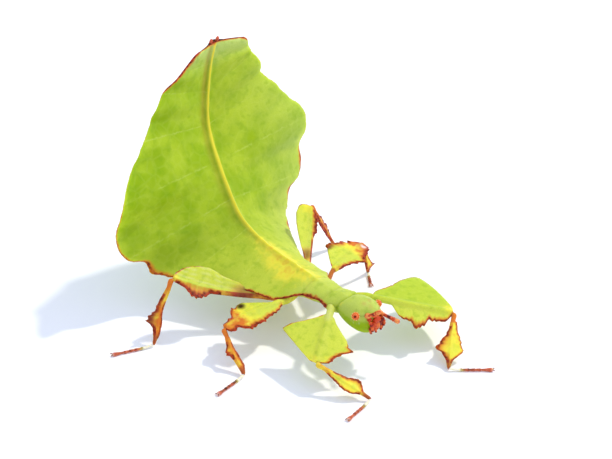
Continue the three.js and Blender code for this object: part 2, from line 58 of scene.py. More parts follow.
MM = 0.001
SEED = 7
EYE_PLACE = (1.85, -24.5, 6.85)  # middle of the left eye
# Names of the values stored on the small pieces.
ALONG_TUBE = "along_tube"
FROM_PUPIL = "from_pupil"
SPOKES = "spokes"
Rows = Sequence[Sequence[float]]  # a table: each row starts with its station or its share of a length


# ---- shared tools ---------------------------------------------------------------------------


def srgb(code: str) -> tuple[float, float, float, float]:
    """Turns an sRGB hex colour into a linear one.

    Args:
        code: the colour, such as #c9cf4a.
    Returns:
        Red, green, blue and alpha.
    """
    channels = [int(code[i : i + 2], 16) / 255 for i in (1, 3, 5)]
    linear = [c / 12.92 if c <= 0.04045 else ((c + 0.055) / 1.055) ** 2.4 for c in channels]
    return (linear[0], linear[1], linear[2], 1.0)


def unit(vectors: np.ndarray) -> np.ndarray:
    """Scales vectors along the last axis to length one."""
    return vectors / np.maximum(np.linalg.norm(vectors, axis=-1, keepdims=True), 1e-12)


def ease(low: float, high: float, value: np.ndarray | float) -> np.ndarray:
    """Smooth step from 0 at low to 1 at high."""
    share = np.clip((np.asarray(value, dtype=float) - low) / (high - low), 0.0, 1.0)
    return share * share * (3 - 2 * share)


def hump(value: np.ndarray, centre: float, width: float) -> np.ndarray:
    """Bell curve of height one."""
    return np.exp(-(((value - centre) / width) ** 2))


def run_along(path: np.ndarray) -> np.ndarray:
    """Length from the start of a path to each of its points."""
    steps = np.linalg.norm(np.diff(path, axis=0), axis=1)
    return np.concatenate([[0], np.cumsum(steps)])


def rounded_ends(share: np.ndarray, first: float, last: float) -> np.ndarray:
    """Factor on a radius that rounds off both ends of a shape.

    Args:
        share: share of the length at every row.
        first: share that the round start takes.
        last: share that the round end takes.
    Returns:
        The factor at every row, 0 at both ends and 1 between the round stretches.
    """
    return np.sqrt(np.clip(share / first, 0, 1)) * np.sqrt(np.clip((1 - share) / last, 0, 1))


def rings(path: np.ndarray, across: np.ndarray, up: np.ndarray, columns: int) -> np.ndarray:
    """Ring of points round every point of a path.

    Args:
        path: centre of every ring.
        across: sideways radius of every ring, as a vector.
        up: upward radius of every ring, as a vector.
        columns: points of a ring; the last one closes it and lies on the first.
    Returns:
        A point for each [row, column].
    """
    turn = np.linspace(0, 2 * math.pi, columns + 1)[None, :, None]
    return path[:, None, :] + across[:, None, :] * np.cos(turn) + up[:, None, :] * np.sin(turn)


class Table:
    """Rows of [station, value, ...] that can be read between the rows."""

    def __init__(self, rows: Rows) -> None:
        """Keeps the rows as columns.

        Args:
            rows: the table, with rising stations.
        """
        data = np.asarray(rows, dtype=float)
        self.stations = data[:, 0]
        self.values = data[:, 1:]

    def straight(self, stations: np.ndarray | float) -> np.ndarray:
        """Straight-line reading.

        Args:
            stations: where to read.
        Returns:
            One row of values for each station.
        """
        at = np.atleast_1d(np.asarray(stations, dtype=float))
        columns = [np.interp(at, self.stations, column) for column in self.values.T]
        return np.stack(columns, axis=-1)

    def smooth(self, stations: np.ndarray | float) -> np.ndarray:
        """Reading on a smooth curve through the rows.

        Args:
            stations: where to read.
        Returns:
            One row of values for each station.
        """
        at = np.clip(np.atleast_1d(stations), self.stations[0], self.stations[-1])
        last = np.clip(np.searchsorted(self.stations, at, side="right") - 1, 0, len(self.stations) - 2)
        rows = [np.clip(last + i, 0, len(self.stations) - 1) for i in (-1, 0, 1, 2)]
        places = [self.stations[r][:, None] for r in rows]
        values = [self.values[r] for r in rows]
        span = places[2] - places[1]
        s = (at[:, None] - places[1]) / span
        slope_in = (values[2] - values[0]) / np.maximum(places[2] - places[0], 1e-6) * span
        slope_out = (values[3] - values[1]) / np.maximum(places[3] - places[1], 1e-6) * span
        return (
            (2 * s**3 - 3 * s**2 + 1) * values[1]
            + (s**3 - 2 * s**2 + s) * slope_in
            + (3 * s**2 - 2 * s**3) * values[2]
            + (s**3 - s**2) * slope_out
        )


class Ragged:
    """Repeatable uneven line, for nibbled edges and uneven margins."""

    def __init__(self, seed: int, spacing: float, reach: float = 80.0) -> None:
        """Draws the heights of the line's points once.

        Args:
            seed: start of the random draws.
            spacing: distance between two points, in millimetres.
            reach: length of the line, in millimetres.
        """
        self.spacing = spacing
        draw = np.random.RandomState(seed)
        self.heights = draw.uniform(-1, 1, int(reach / spacing) + 2)

    def at(self, distance: np.ndarray) -> np.ndarray:
        """Height between -1 and 1 at a distance in millimetres along the line."""
        steps = np.arange(len(self.heights)) * self.spacing
        return np.interp(np.abs(distance), steps, self.heights)


class Side(Enum):
    """The animal's own two sides."""

    LEFT = "left"
    RIGHT = "right"

    @property
    def sign(self) -> int:
        """Sign of x on this side."""
        return 1 if self is Side.LEFT else -1


class Layout:
    """The move from the animal's layout in millimetres to the row's frame in metres."""

    def __init__(self) -> None:
        """Finds the move from where the two eyes are."""
        centres = [np.mean(np.array(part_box(f"eye_{side.value}")), axis=0) for side in Side]
        self.shift = np.mean(centres, axis=0) / MM - np.array(EYE_PLACE) * (0, 1, 1)

    def place(self, points: np.ndarray) -> np.ndarray:
        """Points of the layout, in metres in the row's frame."""
        return (np.asarray(points, dtype=float) + self.shift) * MM


LAYOUT = Layout()


def deselect_all() -> None:
    """Leaves nothing selected."""
    bpy.ops.object.select_all(action="DESELECT")


def choose(piece: bpy.types.Object) -> None:
    """Selects one piece only and makes it active.

    Args:
        piece: the piece.
    """
    deselect_all()
    piece.select_set(True)
    bpy.context.view_layer.objects.active = piece


class Sheet:
    """A flat grid whose columns wrap round a shell and whose rows run along it."""

    def __init__(self, name: str, columns: int, rows: int) -> None:
        """Adds the grid.

        Args:
            name: name of the piece.
            columns: faces across the grid, round the shell.
            rows: faces along the grid, along the shell.
        """
        deselect_all()
        bpy.ops.mesh.primitive_grid_add(x_subdivisions=columns, y_subdivisions=rows, size=1)
        self.piece = bpy.context.object
        self.piece.name = name
        mesh = self.piece.data
        mesh.name = name
        flat = np.empty(len(mesh.vertices) * 3)
        mesh.vertices.foreach_get("co", flat)
        flat = flat.reshape(-1, 3) + 0.5
        self.column = np.rint(flat[:, 0] * columns).astype(int)
        self.row = np.rint(flat[:, 1] * rows).astype(int)

    def shape(self, points: np.ndarray, marks: dict[str, np.ndarray]) -> bpy.types.Object:
        """Moves the grid onto its surface, stores its marks and closes it.

        Args:
            points: layout position for each [row, column].
            marks: name and value of each mark, for each [row, column].
        Returns:
            The closed piece, its faces pointing out.
        """
        mesh = self.piece.data
        for name, values in marks.items():
            layer = mesh.attributes.new(name, "FLOAT", "POINT")
            full = np.broadcast_to(values, points.shape[:2])
            layer.data.foreach_set("value", full[self.row, self.column].astype(np.float32))
        placed = LAYOUT.place(points)[self.row, self.column]
        mesh.vertices.foreach_set("co", placed.ravel())
        mesh.update()
        choose(self.piece)
        bpy.ops.object.mode_set(mode="EDIT")
        bpy.ops.mesh.select_all(action="SELECT")
        bpy.ops.mesh.remove_doubles(threshold=1e-7)
        if signed_volume(mesh) < 0:
            bpy.ops.mesh.flip_normals()
        bpy.ops.object.mode_set(mode="OBJECT")
        bpy.ops.object.shade_smooth()
        return self.piece


def signed_volume(mesh: bpy.types.Mesh) -> float:
    """Volume of a mesh in edit mode, negative where its faces point in."""
    return bmesh.from_edit_mesh(mesh).calc_volume(signed=True)


def join(pieces: Sequence[bpy.types.Object], name: str) -> bpy.types.Object:
    """Joins pieces into one.

    Args:
        pieces: what to join.
        name: name of the result.
    Returns:
        The joined piece.
    """
    deselect_all()
    for piece in pieces:
        piece.select_set(True)
    bpy.context.view_layer.objects.active = pieces[0]
    bpy.ops.object.join()
    joined = bpy.context.object
    joined.name = name
    joined.data.name = name
    return joined


# ---- marks that the skin's finish reads -------------------------------------------------------


FAR = 5.0  # distance in millimetres from an edge or a rib where its colours have ended


class Mark(Enum):
    """Names of the values stored on the skin's points."""

    EDGE = "edge_mm"
    RIB = "rib_mm"
    VEIN = "vein_phase"
    RUST = "rust_mm"
    WARM = "warm"
    LIME = "lime"
    # Pale yellow-green of the legs and head, and also a painted highlight on the left half of the abdomen.
    PINK = "pink"
    PALE = "pale"
    DARK = "dark"
    # Darker green spots, and also painted shade: a line along each femur, the lobes of the front left femur
    # and the right half of the upper abdomen.
    SPOT = "spot"
    # Painted shade on the right side of the midrib, which is turned from the light.
    OCHRE = "ochre"
    # Greyish green tones, and also a painted highlight on the left half of the abdomen.
    GREY = "grey_green"


def marks(points: np.ndarray, **given: np.ndarray | float) -> dict[str, np.ndarray]:
    """Fills in a value of every mark.

    Args:
        points: positions for each [row, column].
        given: values by the mark's name in lower case; the rest take the values of plain skin.
    Returns:
        Every mark's values by the name stored on the mesh.
    """
    plain = {"EDGE": FAR, "RIB": FAR, "VEIN": 0.5}
    shape = points.shape[:2]
    return {
        mark.value: np.broadcast_to(given.get(mark.name.lower(), plain.get(mark.name, 0.0)), shape)
        for mark in Mark
    }


# ---- body -------------------------------------------------------------------------------------


@dataclass
class Body:
    """Head, thorax and leaf-shaped abdomen as one shell. Stations run from -1 at the front of the
    head through 0 where the abdomen starts to 1 at its tip."""

    half_columns: int = 56
    trunk_rows: int = 112
    abdomen_rows: int = 236
    leaf_thickness: float = 0.3
    midrib_height: float = 0.42
    midrib_width: float = 0.3
    joint_groove: float = 0.16
    # [station, y, z] of the middle line.
    spine: Rows = (
        (-1.0, -25.95, 5.95), (-0.99, -25.9, 5.95), (-0.97, -25.7, 6.0), (-0.93, -25.25, 6.05),
        (-0.87, -24.65, 6.15), (-0.8, -23.9, 6.2), (-0.72, -23.0, 6.2), (-0.64, -22.2, 6.2),
        (-0.585, -21.75, 6.2), (-0.565, -21.5, 6.2), (-0.545, -21.25, 6.2), (-0.49, -20.4, 6.2),
        (-0.43, -19.3, 6.1), (-0.385, -18.45, 6.0), (-0.31, -17.3, 6.0), (-0.22, -16.1, 6.15),
        (-0.14, -15.0, 6.4), (-0.07, -14.1, 6.6), (0.0, -13.2, 6.8), (0.1, -9.4, 7.15),
        (0.2, -5.8, 8.0), (0.3, -2.8, 9.65), (0.38, -0.85, 12.45), (0.46, 0.8, 15.4),
        (0.54, 1.95, 18.0), (0.62, 2.5, 20.4), (0.72, 2.45, 23.6), (0.85, 1.85, 27.9),
        (1.0, 0.75, 31.9),
    )
    # [station, half width, y, z] of the edge.
    margin: Rows = (
        (-1.0, 0.02, -25.95, 5.95), (-0.99, 0.72, -25.9, 5.95), (-0.97, 1.15, -25.7, 6.0),
        (-0.93, 1.6, -25.25, 6.0), (-0.87, 1.92, -24.65, 6.05), (-0.8, 2.03, -23.95, 6.05),
        (-0.72, 2.0, -22.9, 6.05), (-0.64, 1.82, -21.9, 6.05), (-0.585, 1.55, -21.2, 6.0),
        (-0.565, 1.45, -21.05, 5.95), (-0.545, 1.58, -20.85, 5.9), (-0.49, 1.95, -19.9, 5.75),
        (-0.43, 1.9, -19.0, 5.8), (-0.385, 1.85, -18.35, 5.95), (-0.31, 2.0, -17.3, 5.95),
        (-0.22, 2.3, -16.1, 5.75), (-0.14, 3.1, -15.0, 5.4), (-0.07, 4.0, -14.1, 5.1),
        (0.0, 4.5, -13.2, 4.95), (0.05, 4.95, -11.6, 4.9), (0.09, 5.2, -10.1, 4.8),
        (0.16, 6.7, -6.9, 4.7), (0.24, 8.7, -2.9, 4.65), (0.285, 10.3, -0.5, 4.7),
        (0.3, 11.0, 0.1, 5.0), (0.312, 11.4, 0.5, 5.9), (0.325, 11.9, 0.7, 6.8), (0.345, 13.6, 1.0, 7.5),
        (0.37, 14.7, 1.6, 9.0), (0.4, 14.75, 2.0, 11.2), (0.43, 14.9, 1.0, 13.6),
        (0.46, 14.6, 0.6, 15.8), (0.49, 14.0, 0.8, 17.4), (0.52, 12.6, 1.5, 19.0),
        (0.56, 11.4, 1.6, 20.5), (0.6, 10.3, 1.8, 22.0), (0.64, 8.8, 2.3, 23.6),
        (0.66, 8.7, 2.1, 24.4), (0.69, 8.2, 1.7, 25.6), (0.74, 7.35, 1.7, 27.1), (0.78, 6.8, 1.5, 27.8),
        (0.83, 5.9, 0.9, 28.8), (0.89, 4.6, 0.8, 29.8), (0.95, 3.4, 0.3, 31.3),
        (1.0, 2.7, 0.15, 31.7),
    )
    # [station, dome over the middle surface, keel under it, half width of the keel].
    bulk: Rows = (
        (-1.0, 0.02, 0.02, 0.02), (-0.99, 0.62, 0.8, 0.72), (-0.97, 1.0, 1.25, 1.15),
        (-0.93, 1.4, 1.8, 1.6), (-0.87, 1.75, 2.05, 1.95), (-0.8, 1.87, 2.05, 2.05),
        (-0.72, 1.77, 1.9, 2.0), (-0.64, 1.42, 1.55, 1.8), (-0.585, 1.05, 1.25, 1.5),
        (-0.565, 0.93, 1.15, 1.42), (-0.545, 0.95, 1.15, 1.55), (-0.49, 0.95, 1.15, 1.8),
        (-0.43, 0.85, 1.05, 1.7), (-0.385, 0.8, 1.0, 1.6), (-0.31, 0.9, 1.1, 1.9),
        (-0.22, 0.8, 1.3, 2.1), (-0.14, 0.65, 1.6, 2.6), (-0.07, 0.5, 1.9, 3.0),
        (0.0, 0.35, 2.2, 3.0), (0.15, 0.2, 2.3, 2.8), (0.4, 0.1, 1.8, 2.5),
        (0.7, 0.05, 1.0, 2.0), (1.0, 0.02, 0.35, 1.2),
    )
    # [station, sideways, up] of the small lean of the left edge against the right one.
    left_lean: Rows = (
        (-1, 0, 0), (-0.6, 0, 0), (-0.565, 0.2, 0.3), (-0.545, 0.35, 0.5), (-0.49, 0.1, 0.25),
        (-0.4, 0, 0), (-0.12, 0, 0), (0, -0.6, 0), (0.09, -1.0, 0), (0.16, -1.0, 0), (0.24, -0.45, 0),
        (0.285, -0.2, 0), (0.31, 0, 0), (0.69, 0, 0), (0.74, -0.25, 0), (0.78, -0.35, 0),
        (0.83, 0.1, -0.5), (0.89, 0.95, -0.75), (0.95, 1.5, -0.9), (1, 1.5, -0.6),
    )
    # [station, distance] that the upper abdomen leans, and the direction it leans in.
    lean: Rows = (
        (-1, 0), (0.3, 0), (0.38, 0.4), (0.46, 1.4), (0.54, 2.6), (0.62, 3.6), (0.72, 4.7), (0.85, 6.2),
        (1.0, 8.0),
    )
    lean_direction: Sequence[float] = (0.58, 0.65, -0.49)
    veins: Sequence[float] = (0.13, 0.24, 0.35, 0.46, 0.6, 0.745, 0.87)
    joints: Sequence[float] = (-0.565, -0.42, -0.21, -0.01)
    # [station, height] of the steps that make the edge uneven.
    uneven: Rows = (
        (-1, 0), (-0.5, 0), (-0.45, 0.12), (-0.1, 0.16), (0.02, 0.12), (0.2, 0.06), (0.28, 0.16),
        (0.33, 0.16), (0.36, 0.06), (0.5, 0.06), (0.76, 0.09), (0.82, 0.16), (1, 0.18),
    )
    # [station, share of the midrib's height].
    ridge: Rows = ((-1, 0), (-0.4, 0), (-0.15, 0.25), (0.05, 0.7), (0.3, 1), (0.8, 0.8), (1, 0.3))
    # [station, width] of the dry border of each side.
    rust_right: Rows = (
        (-1, 0), (-0.52, 0), (-0.48, 0.1), (-0.05, 0.13), (0.1, 0.12), (0.22, 0.08), (0.28, 0.28),
        (0.31, 0.36), (0.335, 0.14), (0.42, 0.1), (0.48, 0.04), (0.745, 0.04), (0.765, 0.2), (0.9, 0.28),
        (1, 0.34),
    )
    rust_left: Rows = (
        (-1, 0), (-0.3, 0), (-0.2, 0.1), (-0.06, 0.12), (0, 0.03), (0.21, 0.03), (0.24, 0.3),
        (0.26, 0.05), (0.305, 0.05), (0.325, 0.38), (0.34, 0.06), (0.355, 0.1), (0.372, 0.4),
        (0.4, 0.06), (0.44, 0.04), (0.94, 0.03), (0.965, 0.16), (1, 0.3),
    )
    # [station, width] of the yellow, and [station, strength] of the painted shade on the right side of the
    # midrib, which is turned from the light.
    yellow_width: Rows = ((-1, 0.3), (0.0, 2.2), (0.12, 1.7), (0.3, 0.6), (1, 0.3))
    ochre: Rows = ((-1, 0), (0.2, 0), (0.35, 0.25), (0.55, 0.5), (0.8, 0.75), (0.95, 0.6), (1, 0.4))
    # [station, factor] on the distance from the midrib: its crest narrows towards the tip.
    rib_narrowing: Rows = ((-1, 0.75), (0.3, 0.8), (0.6, 1.1), (1, 1.5))
    # Station, side, length, width and strength of the darker green spots.
    dark_spots: Rows = (
        (0.48, 0.4, 0.026, 0.08, 1.0), (0.448, -0.5, 0.026, 0.08, 1.0),
        (0.333, -0.45, 0.032, 0.12, 0.62), (0.31, 0.45, 0.03, 0.1, 0.8),
    )
    seam_end: Sequence[float] = (0.95, -25.5, 6.95)
    # Stations where the free edge and the midrib start, and the abdomen's length near its tip.
    edge_start: float = -0.52
    rib_start: float = -0.1
    tip_reach: float = 28.0
    # Places of the small pale dots behind and under the eye.
    face_dots: Rows = (
        (1.95, -24.3, 6.0), (1.9, -24.7, 5.95), (1.8, -25.0, 6.1), (1.95, -23.95, 6.15), (1.75, -25.0, 6.6),
    )

    def columns(self, stations: np.ndarray) -> np.ndarray:
        """Share of the half width of every column, for each station.

        Args:
            stations: station of every row.
        Returns:
            Shares from -1 at the right edge over the back to 1 and back underneath.
        """
        t = np.linspace(-1, 1, self.half_columns + 1)
        round_share = np.sin(t * math.pi / 2)
        leaf_share = 0.36 * t + 1.63 * t**3 - 0.99 * t**5
        leafy = ease(-0.45, 0.15, stations)[:, None]
        top = (1 - leafy) * round_share + leafy * leaf_share
        return np.concatenate([top, top[:, -2::-1]], axis=1)

    def middle(self, stations: np.ndarray) -> np.ndarray:
        """Points of the middle line at the stations."""
        line = Table(self.spine).smooth(stations)
        return np.concatenate([np.zeros((len(stations), 1)), line], axis=1) + self.leaning(stations)

    def leaning(self, stations: np.ndarray) -> np.ndarray:
        """Lean of the upper abdomen at the stations."""
        return Table(self.lean).smooth(stations) * np.array(self.lean_direction)

    def edge(self, stations: np.ndarray) -> np.ndarray:
        """Points of the left edge at the stations."""
        return Table(self.margin).smooth(stations)

    def back(self, stations: np.ndarray) -> np.ndarray:
        """Direction straight out of the back, in the mid-plane.

        Args:
            stations: station of every row.
        Returns:
            A direction for each station.
        """
        step = 0.01
        ahead = self.middle(np.minimum(stations + step, 1.0))
        behind = self.middle(np.maximum(stations - step, -1.0))
        along = unit(ahead - behind)
        out = np.stack([np.zeros(len(stations)), -along[:, 2], along[:, 1]], axis=1)
        level = np.array([0.0, 0.0, 1.0])
        bent = ease(-0.5, 0.05, stations)[:, None]
        return unit(bent * out + (1 - bent) * level)

    def surface(self, stations: np.ndarray, sides: np.ndarray) -> np.ndarray:
        """Points of the middle surface.

        Args:
            stations: station of every row.
            sides: share of the half width, for each [row, column].
        Returns:
            A point for each [row, column].
        """
        middle, edge = self.middle(stations), self.edge(stations)
        sway = self.leaning(stations)
        share = np.abs(sides)[..., None]
        points = middle[:, None, :] * (1 - share) + (edge + sway)[:, None, :] * share
        points[..., 0] = sides * edge[:, :1] + sway[:, :1]
        lean = Table(self.left_lean).smooth(stations)[:, None, :] * np.maximum(sides, 0)[..., None] ** 2
        points[..., 0] += lean[..., 0]
        points[..., 2] += lean[..., 1]
        return points

    def uneven_edge(self, stations: np.ndarray, points: np.ndarray, sides: np.ndarray) -> np.ndarray:
        """Small outward steps that make the margin wavy and toothed.

        Args:
            stations: station of every row.
            points: points of the middle surface.
            sides: share of the half width.
        Returns:
            A step for each [row, column].
        """
        middle = self.middle(stations)[:, None, :]
        outward = unit(points - middle)
        run = np.cumsum(np.linalg.norm(np.diff(self.edge(stations), axis=0, prepend=0), axis=1))
        amount = Table(self.uneven).straight(stations)[:, 0]
        near = np.abs(sides) ** 10
        steps = np.zeros(sides.shape)
        for sign, seed in ((1, SEED), (-1, SEED + 1)):
            wave = Ragged(seed, 0.3).at(run) * 0.7 + Ragged(seed + 20, 1.1).at(run) * 0.8
            steps = np.where(np.sign(sides) == sign, (wave * amount)[:, None] * near, steps)
        return outward * steps[..., None]

    def points(self, stations: np.ndarray, sides: np.ndarray) -> np.ndarray:
        """Outer surface.

        Args:
            stations: station of every row.
            sides: share of the half width, for each [row, column].
        Returns:
            A point for each [row, column].
        """
        centre = self.surface(stations, sides)
        x = centre[..., 0] - self.leaning(stations)[:, :1]
        dome, keel, keel_half = (c[:, None] for c in Table(self.bulk).smooth(stations).T)
        over = np.arange(sides.shape[1])[None, :] <= self.half_columns
        leafy = ease(-0.45, -0.1, stations)[:, None]
        rim = np.sqrt(np.maximum(0, 1 - np.abs(sides) ** 12)) * self.leaf_thickness / 2
        rim = rim * ease(-0.6, -0.3, stations)[:, None] * (1 - 0.7 * ease(0.97, 1.0, stations)[:, None])
        arch = np.sqrt(np.maximum(0, 1 - sides**2)) * (1 - leafy) + (1 - sides**2) * leafy
        ridge = self.midrib_height * hump(x, 0.0, self.midrib_width) * self.ridge_share(stations)
        hollow = np.clip(1 - (x / np.maximum(keel_half, 1e-3)) ** 2, 0, 1)
        belly = np.sqrt(hollow) * (1 - leafy) + hollow * leafy
        lift = dome * arch + ridge + self.relief(stations, sides, x)
        drop = keel * belly
        height = np.where(over, rim + lift, -rim - drop)
        height = np.where(np.abs(sides) >= 1, 0.0, height)
        moved = centre + self.uneven_edge(stations, centre, sides)
        return moved + self.back(stations)[:, None, :] * height[..., None]

    def ridge_share(self, stations: np.ndarray) -> np.ndarray:
        """How far the midrib stands out at each station, as a column."""
        return Table(self.ridge).straight(stations)

    def relief(self, stations: np.ndarray, sides: np.ndarray, x: np.ndarray) -> np.ndarray:
        """Grooves at the joints of the trunk and the soft swelling between the veins.

        Args:
            stations: station of every row.
            sides: share of the half width.
            x: distance from the mid-plane.
        Returns:
            Height of the relief for each [row, column].
        """
        at = stations[:, None]
        groove = sum(hump(at, joint, 0.014) for joint in self.joints) * (1 - sides**4)
        phase = self.vein_phase(stations)[:, None]
        quilt = np.sin(math.pi * np.mod(phase, 1.0)) ** 0.7
        soft = ease(0.02, 0.12, at) * (1 - ease(0.9, 1.0, at)) * ease(0.6, 3.0, np.abs(x))
        wrinkle = np.sin(9 * x + 31 * at) * np.sin(52 * at - 2.1 * x) + 0.6 * np.sin(3.1 * x - 84 * at + 1.3)
        swell = 0.16 * quilt * soft * (1 - np.abs(sides) ** 6) + 0.022 * wrinkle * ease(0.0, 0.2, at)
        return -self.joint_groove * groove + swell

    def vein_phase(self, stations: np.ndarray) -> np.ndarray:
        """Counts the side veins along the abdomen.

        Args:
            stations: station of every row.
        Returns:
            The count at each station, whole at each vein.
        """
        places = [0.0, *self.veins, 1.0]
        counts = [0.5, *range(1, len(self.veins) + 1), len(self.veins) + 0.5]
        return np.interp(stations, places, counts)

    def spots(self, stations: np.ndarray, sides: np.ndarray) -> np.ndarray:
        """Darker green spots of the abdomen.

        Args:
            stations: station of every row.
            sides: share of the half width, for each [row, column].
        Returns:
            Strength for each [row, column].
        """
        at = stations[:, None]
        return sum(
            strength * np.exp(-(((at - station) / long) ** 2) - ((sides - side) / wide) ** 2)
            for station, side, long, wide, strength in self.dark_spots
        )

    def rust(self, stations: np.ndarray, sides: np.ndarray) -> np.ndarray:
        """Width of the dry red-brown border.

        Args:
            stations: station of every row.
            sides: share of the half width, for each [row, column].
        Returns:
            Width in millimetres for each [row, column].
        """
        left, right = (Table(rows).straight(stations) for rows in (self.rust_left, self.rust_right))
        return np.where(sides > 0, left, right)

    def face_marks(self, stations: np.ndarray, points: np.ndarray) -> dict[str, np.ndarray]:
        """Marks of the head: greyish green dome, greener cheeks, fine seams and a few small dots.

        Args:
            stations: station of every row.
            points: points of the outer surface.
        Returns:
            The marks lime, spot, grey, dark, pink, pale and warm.
        """
        at = stations[:, None]
        head = 1 - ease(-0.585, -0.555, at)
        neck = ease(-0.58, -0.54, at) * (1 - ease(-0.3, 0.0, at))
        side = np.concatenate([np.abs(points[..., :1]), points[..., 1:]], axis=-1)
        start, end = np.array(EYE_PLACE), np.array(self.seam_end)
        share = np.clip((side - start) @ (end - start) / np.sum((end - start) ** 2), 0, 1)
        to_seam = np.linalg.norm(side - start - share[..., None] * (end - start), axis=-1)
        seam = np.exp(-((to_seam / 0.09) ** 2))
        crease = hump(at, -0.575, 0.014) + 0.5 * hump(at, -0.42, 0.012) + 0.5 * hump(at, -0.21, 0.01)
        below = ease(-0.15, 0.85, 6.7 - side[..., 2]) * head
        dome = (1 - below) * head

        def dot(place: Sequence[float], size: float) -> np.ndarray:
            """Soft round dot on both sides."""
            return np.exp(-np.sum((side - np.array(place)) ** 2, axis=-1) / size**2)

        return {
            "lime": 0.5 * dome + 0.55 * neck + 0.45 * ease(-0.4, -0.2, at) * (1 - ease(0.0, 0.25, at)),
            "spot": 0.95 * below + 0.75 * seam * head + 0.7 * crease,
            "grey": 0.36 * dome + 0.22 * neck,
            "dark": 0.3 * seam * head + 0.18 * crease,
            "pink": 0.3 * dot((0.4, -24.4, 7.8), 0.28) + 0.2 * dot((0.0, -25.0, 7.5), 0.3),
            "pale": 0.35 * sum(dot(place, 0.09) for place in self.face_dots),
            "warm": 0.28 * dot((1.3, -21.7, 6.9), 0.5),
        }

    def add_abdomen_marks(
        self, found: dict[str, np.ndarray], stations: np.ndarray, sides: np.ndarray, x: np.ndarray
    ) -> None:
        """Adds the abdomen's yellow base, paler greens and spots to the marks found so far, with painted
        shade on the right half of the upper abdomen, which is turned from the light, and painted highlight on
        its left half, which faces the light.

        Args:
            found: marks by name, which are added to.
            stations: station of every row.
            sides: share of the half width, for each [row, column].
            x: distance from the midrib, for each [row, column].
        """
        at = stations[:, None]
        near_midrib = hump(x, 0.0, Table(self.yellow_width).straight(stations))
        yellow = 0.5 * near_midrib * ease(-0.35, -0.1, at) * (1 - ease(0.12, 0.3, at))
        yellow = yellow + 0.2 * hump(at, 0.04, 0.05) * hump(x, -1.8, 1.2)
        yellow = yellow + 0.2 * ease(0.9, 1.0, at) * hump(x, -0.9, 0.9)
        found["warm"] = found["warm"] + np.minimum(yellow, 0.5)
        found["spot"] = np.clip(found["spot"] + self.spots(stations, sides), 0, 1)
        # Painted shade: the right half of the upper abdomen, which is turned from the light, is made darker.
        found["spot"] = found["spot"] + 0.3 * hump(at, 0.7, 0.14) * ease(0.0, 0.4, -sides)
        rim = 0.3 * ease(0.0, 0.1, at) * np.abs(sides) ** 6 * (1 - ease(0.3, 0.5, at))
        base = 0.4 * ease(-0.1, 0.08, at) * (1 - ease(0.2, 0.38, at))
        # The last term is a painted highlight: the left half of the upper abdomen, which faces the light, is
        # made paler.
        found["lime"] = found["lime"] + rim + base + 0.3 * ease(0.3, 0.6, at) * ease(0.0, 0.3, sides)
        found["grey"] = found["grey"] + 0.7 * ease(0.8, 0.98, at)
        # Painted highlight: the left half of the abdomen, which faces the light, is made paler.
        found["grey"] = found["grey"] + 0.22 * hump(at, 0.4, 0.3) * ease(0.3, 0.95, sides)

    def build(self) -> bpy.types.Object:
        """Makes the shell with its marks.

        Returns:
            The closed shell.
        """
        trunk = np.linspace(-1, 0, self.trunk_rows + 1)
        abdomen = np.linspace(0, 1, self.abdomen_rows + 1)[1:]
        stations = np.concatenate([trunk, abdomen])
        sides = self.columns(stations)
        points = self.points(stations, sides)
        half = self.edge(stations)[:, :1]
        at = stations[:, None]
        x = points[..., 0] - self.leaning(stations)[:, :1]
        found = self.face_marks(stations, points)
        self.add_abdomen_marks(found, stations, sides, x)
        to_tip = (1 - at) * self.tip_reach
        to_edge = np.minimum((1 - np.abs(sides)) * half, to_tip)
        values = marks(
            points,
            edge=np.where(at < self.edge_start, FAR, to_edge),
            rib=np.where(at < self.rib_start, FAR, x * Table(self.rib_narrowing).straight(stations)),
            vein=self.vein_phase(stations)[:, None],
            rust=self.rust(stations, sides),
            # Painted shade on the right side of the midrib, which is turned from the light.
            ochre=Table(self.ochre).straight(stations) * hump(x, -0.62, 0.42),
            **found,
        )
        sheet = Sheet("body_shell", sides.shape[1] - 1, len(stations) - 1)
        return sheet.shape(points, values)


# ---- legs -------------------------------------------------------------------------------------


@dataclass(frozen=True)
class Lobe:
    """One leafy lobe of a leg segment: breadths and widths of the red-brown edge along it."""

    breadth: Rows
    rust: Rows = ((0, 0.05), (1, 0.05))


@dataclass(frozen=True)
class LegShape:
    """Places and lobes of one leg. The points are the coxa's end inside the body, its root, the hip,
    the knee, the end of the tibia and the tip of the foot."""

    name: str
    socket: Sequence[float]
    root: Sequence[float]
    hip: Sequence[float]
    knee: Sequence[float]
    ankle: Sequence[float]
    toe: Sequence[float]
    # How far the middle of the femur stands out of the line from hip to knee.
    bow: Sequence[float]
    # Angles in degrees that the front and the rear lobe of the femur are lifted by.
    lift: Sequence[float]
    femur: Sequence[Lobe]
    tibia: Sequence[Lobe]
    # [share of the femur, strength] of the warm colours.
    warm: Rows = ((0, 0.0), (0.75, 0.0), (1, 0.6))
    # Mark, share of the femur, place across, length, width and strength of every patch.
    patches: Sequence[tuple] = ()
    shin_warm: float = 0.4
    shin_dark: float = 0.0
    shin_bow: Sequence[float] = (0, 0, 0)
    # How far the lobes of the tibia lean towards the foot.
    sweep: float = 0.0
    coxa: float = 0.5
    # Strength of the pale lines on the femur's rear lobe.
    streaks: float = 0.0
    foot_dark: float = 0.4
    # Strength of the painted shade, a deeper green, on the femur's front and rear lobes.
    shade: Sequence[float] = (0.0, 0.0)


